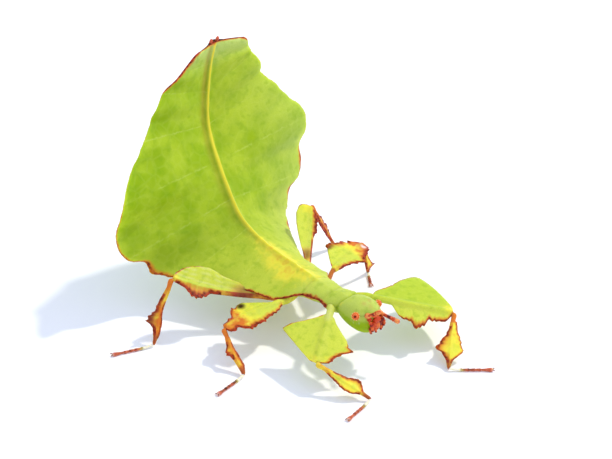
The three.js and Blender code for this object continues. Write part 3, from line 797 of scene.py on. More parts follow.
@dataclass
class Leg:
    """One leg as three shells: coxa and femur, tibia, and foot."""

    shape: LegShape
    seed: int
    lobe_thickness: float = 0.2
    femur_radius: float = 0.42
    tibia_radius: float = 0.3
    ankle_height: float = 0.38
    half_columns: int = 22
    femur_rows: int = 104
    tibia_rows: int = 62
    # [share, radius] of the tibia's shaft.
    tibia_radii: Rows = ((0, 0.3), (0.06, 0.32), (0.2, 0.25), (0.8, 0.2), (0.95, 0.21), (1.0, 0.2))
    foot_rows: int = 72
    foot_columns: int = 18
    # Width of the foot over its height, height of its middle line, and shares where its joints end.
    foot_width: float = 1.15
    sole_height: float = 0.19
    foot_joints: Sequence[float] = (0.0, 0.3, 0.45, 0.58, 0.7, 1.0)

    def frame_of_thigh(self) -> tuple[np.ndarray, np.ndarray, np.ndarray]:
        """Directions of the femur.

        Returns:
            Along the femur, forwards across it, and up out of it.
        """
        hip, knee = np.array(self.shape.hip), np.array(self.shape.knee)
        thigh = unit(knee - hip)
        forward = unit(np.cross(thigh, (0, 0, 1)))
        if forward[1] > 0:
            forward = -forward
        up = unit(np.cross(thigh, forward))
        return thigh, forward, up if up[2] > 0 else -up

    def lobed_tube(
        self,
        name: str,
        path: np.ndarray,
        shares: np.ndarray,
        radii: np.ndarray,
        outs: Sequence[np.ndarray],
        lobes: Sequence[Lobe],
        seed: int,
    ) -> tuple[Sheet, np.ndarray, dict[str, np.ndarray]]:
        """Shell round a path with a thin lobe on each side.

        Args:
            name: name of the shell.
            path: centre of every row.
            shares: share of the segment's length at every row, where the lobes are read.
            radii: radius of the shaft at every row.
            outs: the directions that the two lobes spread in.
            lobes: the two lobes.
            seed: start of the uneven edge.
        Returns:
            The sheet, its points and the marks that follow from the lobes.
        """
        length = run_along(path)
        axis = unit(np.gradient(path, axis=0))
        first = unit(np.cross(axis, outs[0]))
        second = -unit(np.cross(axis, outs[1]))
        t = np.linspace(1, -1, self.half_columns + 1)
        reaches, rusts = [], []
        for k, lobe in enumerate(lobes):
            breadth = Table(((0, 0.0), *lobe.breadth, (1, 0.0))).straight(np.clip(shares, 0, 1))[:, 0]
            rust = Table(lobe.rust).straight(shares)[:, 0]
            wave = Ragged(seed + k, 0.22).at(length) * 0.75 + Ragged(seed + 9 + k, 0.6).at(length) * 0.6
            grown = ease(0.1, 0.7, breadth - radii)
            reach = np.maximum(breadth + wave * (0.02 + 0.9 * np.clip(rust - 0.05, 0, 0.4)) * grown, radii)
            reaches.append(reach)
            rusts.append(rust)
        wide = ease(0.1, 1.6, np.maximum(*reaches) - radii)[:, None]
        narrow_spread, wide_spread = np.sin(t * math.pi / 2), 0.5 * t + 1.2 * t**3 - 0.7 * t**5
        share = narrow_spread[None, :] * (1 - wide) + wide_spread[None, :] * wide
        share = np.concatenate([share, share[:, -2::-1]], axis=1)
        reach = np.where(share > 0, reaches[0][:, None], reaches[1][:, None])
        r = np.abs(share) * reach
        rim = np.sqrt(np.maximum(0, 1 - np.abs(share) ** 8))
        lobe_half = self.lobe_thickness / 2 * rim * ease(0, 1, radii / self.tibia_radius)[:, None]
        core = np.sqrt(np.maximum(0, radii[:, None] ** 2 - r**2))
        height = np.maximum(core, lobe_half * ease(0.0, 0.25, reach - radii[:, None]))
        swell = 0.6 * radii[:, None] * np.exp(-((r / np.maximum(1.15 * radii[:, None], 1e-3)) ** 2))
        height = height * (1 - 0.85 * wide) + (lobe_half + swell) * 0.85 * wide
        height = np.where(np.abs(share) >= 1, 0.0, height)
        side = ease(-1, 1, share * reach / np.maximum(radii[:, None], 1e-3))[..., None]
        up = unit(first[:, None, :] * side + second[:, None, :] * (1 - side))
        over = np.arange(share.shape[1])[None, :] <= self.half_columns
        out = np.where((share > 0)[..., None], outs[0], outs[1])
        curl = np.stack([Ragged(seed + 60 + k, 0.9).at(length) for k in (0, 1)])
        curl = np.where(share > 0, curl[0][:, None] * rusts[0][:, None], curl[1][:, None] * rusts[1][:, None])
        curl = 0.5 * np.clip(curl, -0.3, 0.3) * np.abs(share) ** 3 * ease(0.3, 1.2, reach - radii[:, None])
        flat = np.where(over, 1, -1) * height + curl
        points = path[:, None, :] + out * r[..., None] + up * flat[..., None]
        rust = np.where(share > 0, rusts[0][:, None], rusts[1][:, None])
        found = {"edge": np.maximum(reach - r, 0.0), "rib": share * reach, "rust": rust}
        found["edge"] = np.where(reach - radii[:, None] < 0.12, 0.4 + 0 * r, found["edge"])
        return Sheet(name, share.shape[1] - 1, len(path) - 1), points, found

    def build_femur(self) -> bpy.types.Object:
        """Coxa and femur as one shell, rounded at the knee.

        Returns:
            The shell.
        """
        shape = self.shape
        _, forward, up = self.frame_of_thigh()
        hip, knee = np.array(shape.hip, dtype=float), np.array(shape.knee, dtype=float)
        coxa = np.array((shape.socket, shape.root, shape.hip), dtype=float)
        lead = np.sum(np.linalg.norm(np.diff(coxa, axis=0), axis=1))
        full = np.linalg.norm(knee - hip)
        run = np.linspace(0, lead + full, self.femur_rows + 1)
        share = np.clip((run - lead) / full, 0, 1)
        path = np.where(
            (run < lead)[:, None],
            along_corners(coxa, np.clip(run / lead, 0, 1)),
            hip + (knee - hip) * share[:, None],
        )
        path = smooth_path(path, 7)
        path += np.array(shape.bow) * (4 * share * (1 - share))[:, None]
        thick = self.femur_radius
        radii = np.interp(
            run,
            [0, lead * 0.6, lead, lead + 0.6, lead + full],
            [0.6 * shape.coxa, shape.coxa, 0.9 * shape.coxa, thick, thick * 0.8],
        )
        end = np.clip((lead + full - run) / 0.35, 0, 1)
        radii = radii * np.sqrt(np.maximum(1 - (1 - end) ** 2, 0)) * np.sqrt(np.clip(run / 0.2, 0, 1))
        tips = [math.radians(a) for a in shape.lift]
        outs = [
            forward * math.cos(tips[0]) + up * math.sin(tips[0]),
            -forward * math.cos(tips[1]) + up * math.sin(tips[1]),
        ]
        start = 0.6 / full
        along = (share - start) / (1 - start)
        sheet, points, found = self.lobed_tube(
            f"femur_shell_{shape.name}", path, along, radii, outs, shape.femur, self.seed
        )
        warm = Table(shape.warm).straight(share)
        # Painted shade: a darker line along the shaft, in the crease where the two lobes meet, and a deeper
        # green over the lobes by the leg's shade setting.
        shaft = 0.5 * hump(found["rib"], 0.0, 0.3) * ease(0.02, 0.15, share)[:, None]
        front, rear = shape.shade
        shade = np.maximum(shaft, front + (rear - front) * ease(-0.4, 0.4, -found["rib"]))
        values = marks(points, lime=1.0, warm=warm, spot=shade, **self.patches(share, found), **found)
        return sheet.shape(points, values)

    def patches(self, share: np.ndarray, found: dict[str, np.ndarray]) -> dict[str, np.ndarray]:
        """Marks of the leg's patches, given as share, place across, length, width and strength: its own
        colours, and on the front right femur a pale patch that is a painted highlight.

        Args:
            share: share of the femur's length at every row.
            found: the marks that follow from the lobes.
        Returns:
            The marks dark, pink and pale.
        """
        across = found["rib"]
        values = {name: np.zeros(across.shape) for name in ("dark", "pink", "pale")}
        for name, centre, place, long, wide, strength in self.shape.patches:
            spread = ((share[:, None] - centre) / long) ** 2 + ((across - place) / wide) ** 2
            values[name] = np.clip(values[name] + strength * np.exp(-(spread**2)), 0, 1)
        lines = np.maximum(0, np.sin(11 * across + 3 * share[:, None])) * ease(0.2, 0.5, share)[:, None]
        values["pale"] = values["pale"] + self.shape.streaks * lines * ease(0.0, 0.4, -across)
        return values

    def build_tibia(self) -> bpy.types.Object:
        """Tibia as one shell that starts inside the knee and ends over the foot.

        Returns:
            The shell.
        """
        shape = self.shape
        thigh, _, _ = self.frame_of_thigh()
        knee = np.array(shape.knee, dtype=float)
        ankle = np.array([*shape.ankle, self.ankle_height], dtype=float)
        shin = unit(ankle - knee)
        hinge = unit(np.cross(thigh, shin))
        outer = unit(np.cross(shin, hinge))
        start = knee - thigh * 0.15
        bend = knee + thigh * 0.12 + shin * 0.25
        full = np.linalg.norm(ankle - knee)
        share = np.linspace(0, 1, self.tibia_rows + 1)
        corners = np.stack([start, bend, knee + shin * 1.2, ankle + shin * 0.12])
        path = smooth_path(along_corners(corners, share), 6)
        path += np.array(shape.shin_bow) * (np.sin(math.pi * share) ** 2)[:, None]
        radii = Table(self.tibia_radii).straight(share)[:, 0]
        caps = rounded_ends(share, 0.03, 0.04)
        clearance = 1.05 / full
        reading = (share - clearance) / (1 - clearance)
        sheet, points, found = self.lobed_tube(
            f"tibia_shell_{shape.name}", path, reading, radii * caps,
            [unit(outer + shape.sweep * shin), unit(shape.sweep * shin - outer)], shape.tibia, self.seed + 40,
        )
        ends = 0.45 * hump(share, 0.1, 0.13) + 0.5 * ease(0.75, 0.92, share)
        warm = (shape.shin_warm + ends)[:, None]
        blotch = hump(share, 0.62, 0.2)[:, None] * ease(0.1, 0.8, found["rib"])
        dark = 0.4 * ease(0.78, 0.92, share)[:, None] + shape.shin_dark * blotch
        return sheet.shape(points, marks(points, lime=1.0, warm=warm, dark=dark, pink=0.8 * dark, **found))

    def build_foot(self) -> bpy.types.Object:
        """Five foot joints from the ankle down to the floor and along it.

        Returns:
            The shell.
        """
        shape = self.shape
        ankle = np.array([*shape.ankle, self.ankle_height])
        toe = np.array([*shape.toe, 0.0])
        level = unit(toe - ankle * (1, 1, 0))
        length = np.linalg.norm(toe - ankle * (1, 1, 0))
        rows, columns = self.foot_rows, self.foot_columns
        share = np.linspace(0, 1, rows + 1)
        ground = ankle * (1, 1, 0) + level * (share * length)[:, None]
        rise = (self.ankle_height - self.sole_height) * (1 - ease(0.0, 0.22, share)) + self.sole_height
        path = ground + np.array([0, 0, 1.0]) * rise[:, None]
        beat = np.interp(share, self.foot_joints, range(len(self.foot_joints)))
        swell = np.mod(beat, 1.0)
        radius = 0.13 + 0.045 * swell**1.5
        radius = np.where(share > 0.7, 0.12 + 0.11 * ease(0.74, 0.95, share), radius)
        radius = radius * rounded_ends(share, 0.02, 0.05)
        turn = np.linspace(0, 2 * math.pi, columns + 1)
        across = unit(np.cross(level, (0, 0, 1)))
        tilt = unit(np.gradient(path, axis=0))
        up = unit(np.cross(across, tilt))
        points = rings(path, across * (self.foot_width * radius)[:, None], up * radius[:, None], columns)
        points[..., 2] = np.maximum(points[..., 2], 0.0)
        first = (1 - ease(0.22, 0.32, share))[:, None]
        pale = 0.72 * first + 0.5 * ease(0.92, 0.99, share)[:, None]
        knots = hump(swell, 0.95, 0.2) * (share > 0.25) * (share < 0.8)
        over = np.clip(np.sin(turn) + 0.35, 0, 1)
        uneven = 0.5 + 0.5 * Ragged(self.seed + 80, 0.3).at(share * length)
        dark = (0.4 * knots + shape.foot_dark * uneven * ease(0.26, 0.32, share))[:, None] * over
        dark = dark * (1 - ease(0.88, 0.96, share))[:, None]
        pink = (0.1 + 0.8 * ease(0.22, 0.4, share))[:, None]
        sheet = Sheet(f"foot_shell_{shape.name}", columns, rows)
        values = marks(points, lime=1.0, warm=0.1, pink=pink, pale=pale, dark=dark, grey=0.6 * first)
        return sheet.shape(points, values)

    def build(self) -> list[bpy.types.Object]:
        """Makes the leg's three shells."""
        return [self.build_femur(), self.build_tibia(), self.build_foot()]


def smooth_path(path: np.ndarray, rounds: int) -> np.ndarray:
    """Rounds the corners of a path whose ends stay in place.

    Args:
        path: points of the path.
        rounds: how often each point moves half way to the middle of its neighbours.
    Returns:
        The rounded path.
    """
    eased = path.copy()
    for _ in range(rounds):
        eased[1:-1] = 0.5 * eased[1:-1] + 0.25 * (eased[:-2] + eased[2:])
    return eased


def along_corners(corners: np.ndarray, share: np.ndarray) -> np.ndarray:
    """Points at shares of the length of a line with corners.

    Args:
        corners: corners of the line.
        share: where on the line, from 0 to 1.
    Returns:
        A point for each share.
    """
    lengths = run_along(corners)
    places = share * lengths[-1]
    return np.stack([np.interp(places, lengths, column) for column in corners.T], axis=1)


FRONT_RIGHT_FEMUR = (
    Lobe(
        ((0.05, 0.66), (0.15, 1.02), (0.25, 1.58), (0.35, 2.16), (0.45, 2.76), (0.52, 2.98), (0.57, 3.05),
         (0.62, 3.42), (0.655, 3.52), (0.7, 3.0), (0.75, 2.46), (0.8, 2.09), (0.9, 1.79), (0.96, 1.55)),
        ((0, 0.02), (0.45, 0.03), (0.55, 0.14), (0.6, 0.36), (0.66, 0.45), (0.95, 0.32)),
    ),
    Lobe(
        ((0.01, 0.7), (0.05, 1.21), (0.1, 1.81), (0.15, 2.69), (0.2, 3.55), (0.25, 4.4), (0.3, 4.91),
         (0.35, 5.14), (0.4, 4.89), (0.5, 4.16), (0.6, 3.45), (0.7, 2.75), (0.8, 2.04), (0.9, 1.3),
         (0.96, 0.85)),
        ((0, 0.15), (0.05, 0.19), (0.3, 0.19), (0.37, 0.05), (0.9, 0.03), (1, 0.1)),
    ),
)
FRONT_LEFT_FEMUR = (
    Lobe(
        ((0.1, 0.42), (0.25, 0.5), (0.3, 1.16), (0.35, 1.74), (0.4, 1.98), (0.5, 2.25), (0.54, 2.96),
         (0.6, 2.77), (0.65, 2.57), (0.7, 1.78), (0.8, 1.49), (0.85, 1.53), (0.9, 1.29), (0.96, 0.95)),
        ((0, 0.02), (0.33, 0.04), (0.48, 0.25), (0.56, 0.5), (0.66, 0.45), (0.75, 0.28), (0.95, 0.3)),
    ),
    Lobe(
        ((0.0, 0.42), (0.015, 0.8), (0.04, 1.5), (0.08, 2.15), (0.15, 2.82), (0.25, 3.71), (0.3, 4.53),
         (0.35, 5.33), (0.4, 5.9), (0.45, 6.39), (0.5, 6.77), (0.55, 7.0), (0.6, 6.9), (0.65, 6.5),
         (0.7, 6.0), (0.75, 5.37), (0.8, 4.67), (0.85, 3.88), (0.9, 3.03), (0.95, 2.0), (0.99, 0.9)),
        ((0, 0.17), (0.3, 0.18), (0.44, 0.05), (0.9, 0.03), (1, 0.1)),
    ),
)
MIDDLE_RIGHT_FEMUR = (
    Lobe(
        ((0.01, 0.45), (0.1, 0.99), (0.2, 1.46), (0.3, 1.55), (0.35, 1.72), (0.4, 2.19), (0.45, 2.42),
         (0.55, 2.38), (0.65, 2.31), (0.7, 2.14), (0.75, 1.67), (0.8, 1.2), (0.95, 1.21), (0.98, 0.9)),
        ((0, 0.18), (0.2, 0.24), (0.35, 0.4), (0.5, 0.55), (0.8, 0.5), (1, 0.4)),
    ),
    Lobe(
        ((0.1, 0.42), (0.2, 0.76), (0.3, 1.37), (0.4, 1.95), (0.5, 2.45), (0.6, 2.55), (0.7, 2.2),
         (0.75, 1.87), (0.8, 1.24), (0.9, 0.77), (0.98, 0.5)),
        ((0, 0.08), (0.5, 0.06), (0.6, 0.14), (0.7, 0.5), (0.8, 0.5), (1, 0.3)),
    ),
)
MIDDLE_LEFT_FEMUR = (
    Lobe(
        ((0.03, 0.6), (0.2, 0.82), (0.3, 1.16), (0.4, 1.66), (0.5, 2.2), (0.6, 1.89), (0.7, 1.6),
         (0.8, 1.35), (0.9, 1.1), (0.96, 0.8)),
        ((0, 0.2), (0.3, 0.3), (0.5, 0.4), (0.75, 0.6), (1, 0.6)),
    ),
    Lobe(
        ((0.01, 0.55), (0.1, 1.13), (0.2, 1.72), (0.3, 2.27), (0.4, 2.82), (0.45, 3.0), (0.55, 2.74),
         (0.65, 2.42), (0.75, 1.94), (0.85, 1.46), (0.95, 0.97)),
        ((0, 0.15), (0.08, 0.04), (0.37, 0.04), (0.42, 0.5), (0.6, 0.45), (0.85, 0.5), (1, 0.6)),
    ),
)
HIND_RIGHT_FEMUR = (
    Lobe(
        ((0.3, 0.42), (0.5, 0.6), (0.55, 0.85), (0.6, 1.45), (0.66, 1.95), (0.75, 1.85), (0.81, 0.9),
         (0.9, 0.55), (0.97, 0.47)),
        ((0, 0.4), (0.25, 0.55), (0.36, 0.3), (0.5, 0.3), (0.58, 0.85), (0.78, 1.0), (0.84, 0.3), (1, 0.25)),
    ),
    Lobe(
        ((0.02, 0.42), (0.1, 0.6), (0.15, 0.95), (0.2, 1.3), (0.3, 1.56), (0.4, 1.85), (0.5, 2.25),
         (0.58, 2.5), (0.7, 2.39), (0.8, 2.03), (0.87, 1.7), (0.92, 1.35), (0.97, 0.85)),
        ((0, 0.04), (0.6, 0.04), (0.9, 0.1), (1, 0.2)),
    ),
)
HIND_LEFT_FEMUR = (
    Lobe(
        ((0.3, 0.42), (0.5, 0.5), (0.6, 0.75), (0.65, 1.0), (0.7, 1.25), (0.8, 1.0), (0.85, 0.85),
         (0.95, 0.5)),
        ((0, 0.5), (0.4, 0.5), (0.5, 0.25), (0.62, 0.5), (0.8, 0.5), (1, 0.3)),
    ),
    Lobe(
        ((0.1, 0.6), (0.2, 0.95), (0.3, 1.4), (0.4, 1.75), (0.5, 2.05), (0.6, 2.32), (0.7, 2.4),
         (0.77, 2.4), (0.85, 2.15), (0.9, 2.0), (0.95, 1.6), (0.98, 1.1)),
        ((0, 0.1), (0.3, 0.03), (0.9, 0.05), (1, 0.2)),
    ),
)
FRONT_TIBIA = (
    Lobe(
        ((0.05, 0.3), (0.2, 0.5), (0.4, 0.8), (0.53, 1.05), (0.62, 0.95), (0.72, 0.5), (0.8, 0.28),
         (0.95, 0.2)),
        ((0, 0.16), (0.5, 0.18), (1, 0.2)),
    ),
    Lobe(
        ((0.05, 0.3), (0.25, 0.4), (0.45, 0.8), (0.6, 1.2), (0.68, 1.3), (0.75, 0.75), (0.81, 0.32),
         (0.95, 0.2)),
        ((0, 0.2), (0.4, 0.26), (0.7, 0.4), (1, 0.25)),
    ),
)
FRONT_TIBIA_BROAD = (
    Lobe(
        ((0.03, 0.5), (0.2, 0.75), (0.4, 1.15), (0.56, 1.55), (0.62, 1.5), (0.72, 0.9), (0.82, 0.4),
         (0.95, 0.22)),
        ((0, 0.16), (0.5, 0.16), (0.75, 0.2), (1, 0.25)),
    ),
    Lobe(
        ((0.05, 0.3), (0.2, 0.4), (0.35, 0.8), (0.48, 1.35), (0.56, 1.6), (0.64, 1.35), (0.72, 0.85),
         (0.82, 0.4), (0.95, 0.22)),
        ((0, 0.25), (0.3, 0.3), (0.56, 0.5), (1, 0.3)),
    ),
)
MIDDLE_RIGHT_TIBIA = (
    Lobe(
        ((0.05, 0.3), (0.25, 0.42), (0.36, 0.7), (0.44, 1.0), (0.5, 0.55), (0.6, 0.32), (0.95, 0.22)),
        ((0, 0.22), (0.35, 0.28), (0.45, 0.5), (0.6, 0.22), (1, 0.25)),
    ),
    Lobe(
        ((0.05, 0.3), (0.3, 0.4), (0.5, 0.55), (0.68, 0.6), (0.82, 0.5), (0.95, 0.24)),
        ((0, 0.2), (0.5, 0.22), (1, 0.25)),
    ),
)
MIDDLE_LEFT_TIBIA = (
    Lobe(
        ((0.05, 0.35), (0.3, 0.6), (0.55, 0.9), (0.72, 1.3), (0.82, 1.85), (0.88, 0.8), (0.95, 0.3)),
        ((0, 0.2), (0.6, 0.2), (0.82, 0.5), (1, 0.25)),
    ),
    Lobe(((0.05, 0.3), (0.4, 0.4), (0.85, 0.3)), ((0, 0.2), (0.5, 0.2), (1, 0.25))),
)
HIND_RIGHT_TIBIA = (
    Lobe(
        ((0.05, 0.3), (0.3, 0.5), (0.5, 0.8), (0.62, 1.15), (0.68, 0.75), (0.78, 0.4), (0.9, 0.22)),
        ((0, 0.25), (0.5, 0.4), (0.66, 0.6), (1, 0.3)),
    ),
    Lobe(
        ((0.05, 0.3), (0.4, 0.4), (0.6, 0.55), (0.8, 0.5), (0.92, 0.22)),
        ((0, 0.2), (0.5, 0.2), (1, 0.3)),
    ),
)
HIND_LEFT_TIBIA = (
    Lobe(
        ((0.05, 0.5), (0.3, 0.75), (0.5, 0.85), (0.66, 0.8), (0.8, 0.45), (0.92, 0.22)),
        ((0, 0.35), (0.5, 0.45), (1, 0.3)),
    ),
    Lobe(((0.05, 0.45), (0.4, 0.6), (0.6, 0.5), (0.85, 0.3)), ((0, 0.35), (0.5, 0.4), (1, 0.3))),
)

LEGS = (
    LegShape(
        "front_right",
        (-1.19, -19.76, 5.63), (-1.7, -20.3, 5.9), (-2.55, -21.2, 6.35), (-8.12, -24.53, 3.5),
        (-5.5, -30.65), (-10.0, -31.45), (0, 0, 0), (-6, -8), FRONT_RIGHT_FEMUR, FRONT_TIBIA,
        warm=((0, 0.0), (0.75, 0.0), (0.95, 0.3), (1, 0.6)),
        # The pale patch near the coxa is a painted highlight along the shaft.
        patches=(("dark", 0.0, 0.0, 0.03, 0.8, 0.12), ("pale", 0.1, 0.0, 0.12, 0.5, 0.14)),
        foot_dark=0.35,
    ),
    LegShape(
        "front_left",
        (1.1, -19.7, 5.6), (1.8, -20.4, 5.7), (2.9, -21.6, 5.9), (9.86, -28.9, 3.9),
        (5.03, -32.78), (8.8, -36.4), (0, 0, 0), (-28, -6), FRONT_LEFT_FEMUR, FRONT_TIBIA_BROAD,
        warm=((0, 0.0), (0.75, 0.0), (0.95, 0.3), (1, 0.6)), coxa=0.55,
        # Painted shade over the lobes of this femur, which face the light.
        shin_warm=0.48, foot_dark=0.7, shade=(0.42, 0.85),
    ),
    LegShape(
        "middle_right",
        (-1.76, -15.14, 5.5), (-2.3, -14.9, 5.2), (-3.2, -14.5, 4.7), (-11.38, -12.7, 3.9),
        (-12.6, -17.35), (-17.26, -17.9), (0, 0, 0.3), (0, 0), MIDDLE_RIGHT_FEMUR, MIDDLE_RIGHT_TIBIA,
        warm=((0, 0.25), (0.35, 0.12), (0.6, 0.25), (0.75, 0.85), (1, 1.05)), shin_warm=0.66,
        patches=(("dark", 0.595, -1.92, 0.06, 0.6, 1.0), ("pink", 0.8, -0.6, 0.09, 0.5, 0.3)),
        shin_bow=(-0.15, 0.15, 0.0), foot_dark=0.85,
    ),
    LegShape(
        "middle_left",
        (1.6, -16.2, 5.65), (2.7, -15.5, 5.3), (4.3, -14.5, 5.3), (11.14, -12.8, 5.2),
        (12.43, -12.46), (10.77, -14.65), (0, 0, 0), (0, 15), MIDDLE_LEFT_FEMUR, MIDDLE_LEFT_TIBIA,
        warm=((0, 0.9), (0.05, 0.4), (0.15, 0.1), (0.6, 0.15), (0.75, 0.75), (1, 1.1)), shin_warm=0.66,
        patches=(("dark", 0.0, 0.0, 0.05, 0.9, 0.35), ("pale", 0.9, 0.5, 0.035, 0.4, 0.75),
                 ("pink", 0.9, 0.3, 0.09, 0.9, 0.45), ("dark", 0.47, -2.55, 0.1, 0.3, 0.7)),
        coxa=0.3, sweep=0.5, foot_dark=0.6,
    ),
    LegShape(
        "hind_right",
        (-1.9, -13.6, 5.1), (-2.9, -12.6, 4.1), (-4.2, -11.3, 4.35), (-12.0, -4.65, 7.2),
        (-16.16, -5.78), (-20.9, -3.75), (0.0, 0.4, -0.7), (-18, 45), HIND_RIGHT_FEMUR, HIND_RIGHT_TIBIA,
        warm=((0, 0.5), (0.25, 0.2), (0.4, 0.05), (0.9, 0.1), (1, 0.6)), shin_warm=0.85,
        patches=(("dark", 0.17, 0.2, 0.1, 1.1, 0.5), ("pink", 0.2, 0.0, 0.13, 1.2, 0.5)),
        streaks=0.16, shin_dark=0.6, shin_bow=(-0.3, 0.3, 0), foot_dark=0.4,
    ),
    LegShape(
        "hind_left",
        (1.9, -13.6, 5.2), (2.9, -12.6, 4.0), (3.9, -10.6, 3.9), (10.06, -4.96, 7.5),
        (13.6, -5.47), (12.6, -6.8), (0.5, 0.4, -0.7), (-25, 45), HIND_LEFT_FEMUR, HIND_LEFT_TIBIA,
        warm=((0, 0.9), (0.25, 0.5), (0.35, 0.1), (0.8, 0.1), (1, 0.5)), shin_warm=0.85,
        patches=(("pink", 0.22, 0.0, 0.12, 1.2, 0.5), ("dark", 0.22, -0.4, 0.08, 1.0, 0.5),
                 ("dark", 0.68, 1.0, 0.14, 0.6, 0.25)),
        shin_dark=0.25,
    ),
)


@dataclass
class Skin:
    """The one skin of the body and the six legs."""

    body: Body = field(default_factory=Body)
    legs: Sequence[LegShape] = LEGS
    segments: int = 9

    def build(self) -> bpy.types.Object:
        """Makes the shells of the body and the legs and joins them.

        Returns:
            The skin.
        """
        shells = [self.body.build()]
        for number, shape in enumerate(self.legs):
            shells += Leg(shape, SEED + 100 * (number + 1)).build()
        return join(shells, "skin")

    def dress(self) -> None:
        """Builds the skin and gives it the living cuticle."""
        parts = [f"abdomen_{number}" for number in range(1, self.segments + 1)]
        parts += ["metathorax", "mesothorax", "pronotum", "head"]
        parts += [f"{part}_{leg.name}" for leg in self.legs for part in ("coxa", "femur", "tibia", "tarsus")]
        dress(self.build(), LivingSkin().make(), "leaf", *parts)


# ---- head parts and small horn pieces ----------------------------------------------------------


def beaded_tube(
    name: str,
    path: np.ndarray,
    radii: np.ndarray,
    columns: int,
    along: np.ndarray,
    flat: float = 1.0,
) -> bpy.types.Object:
    """Closed round tube along a path.

    Args:
        name: name of the piece.
        path: centre of every row.
        radii: radius of every row.
        columns: faces round the tube.
        along: value of the mark along_tube at every row.
        flat: height of the tube's section over its width.
    Returns:
        The closed tube.
    """
    rows = len(path) - 1
    axis = unit(np.gradient(path, axis=0))
    helper = np.array([0.0, 0.0, 1.0]) if abs(axis[rows // 2][2]) < 0.8 else np.array([0.0, 1.0, 0.0])
    across = unit(np.cross(axis, helper))
    up = unit(np.cross(across, axis))
    points = rings(path, across * radii[:, None], up * (flat * radii)[:, None], columns)
    values = np.broadcast_to(along[:, None], points.shape[:2])
    return Sheet(name, columns, rows).shape(points, {ALONG_TUBE: values})


def bead_radii(
    share: np.ndarray, joints: Sequence[float], radii: Sequence[float], waist: float
) -> np.ndarray:
    """Radii of a string of joints with a waist between every two.

    Args:
        share: share of the length at every row.
        joints: shares where one joint ends and the next starts, from 0 to 1.
        radii: largest radius of every joint.
        waist: radius of the waists as a share of the joints' radius.
    Returns:
        The radius at every row, closing to a point at both ends.
    """
    index = np.clip(np.searchsorted(joints, share, side="right") - 1, 0, len(radii) - 1)
    starts, ends = np.array(joints)[index], np.array(joints)[index + 1]
    inside = (share - starts) / (ends - starts)
    body = np.array(radii)[index] * (waist + (1 - waist) * np.sin(math.pi * np.clip(inside, 0, 1)) ** 0.6)
    return body * rounded_ends(share, 0.04, 0.06)


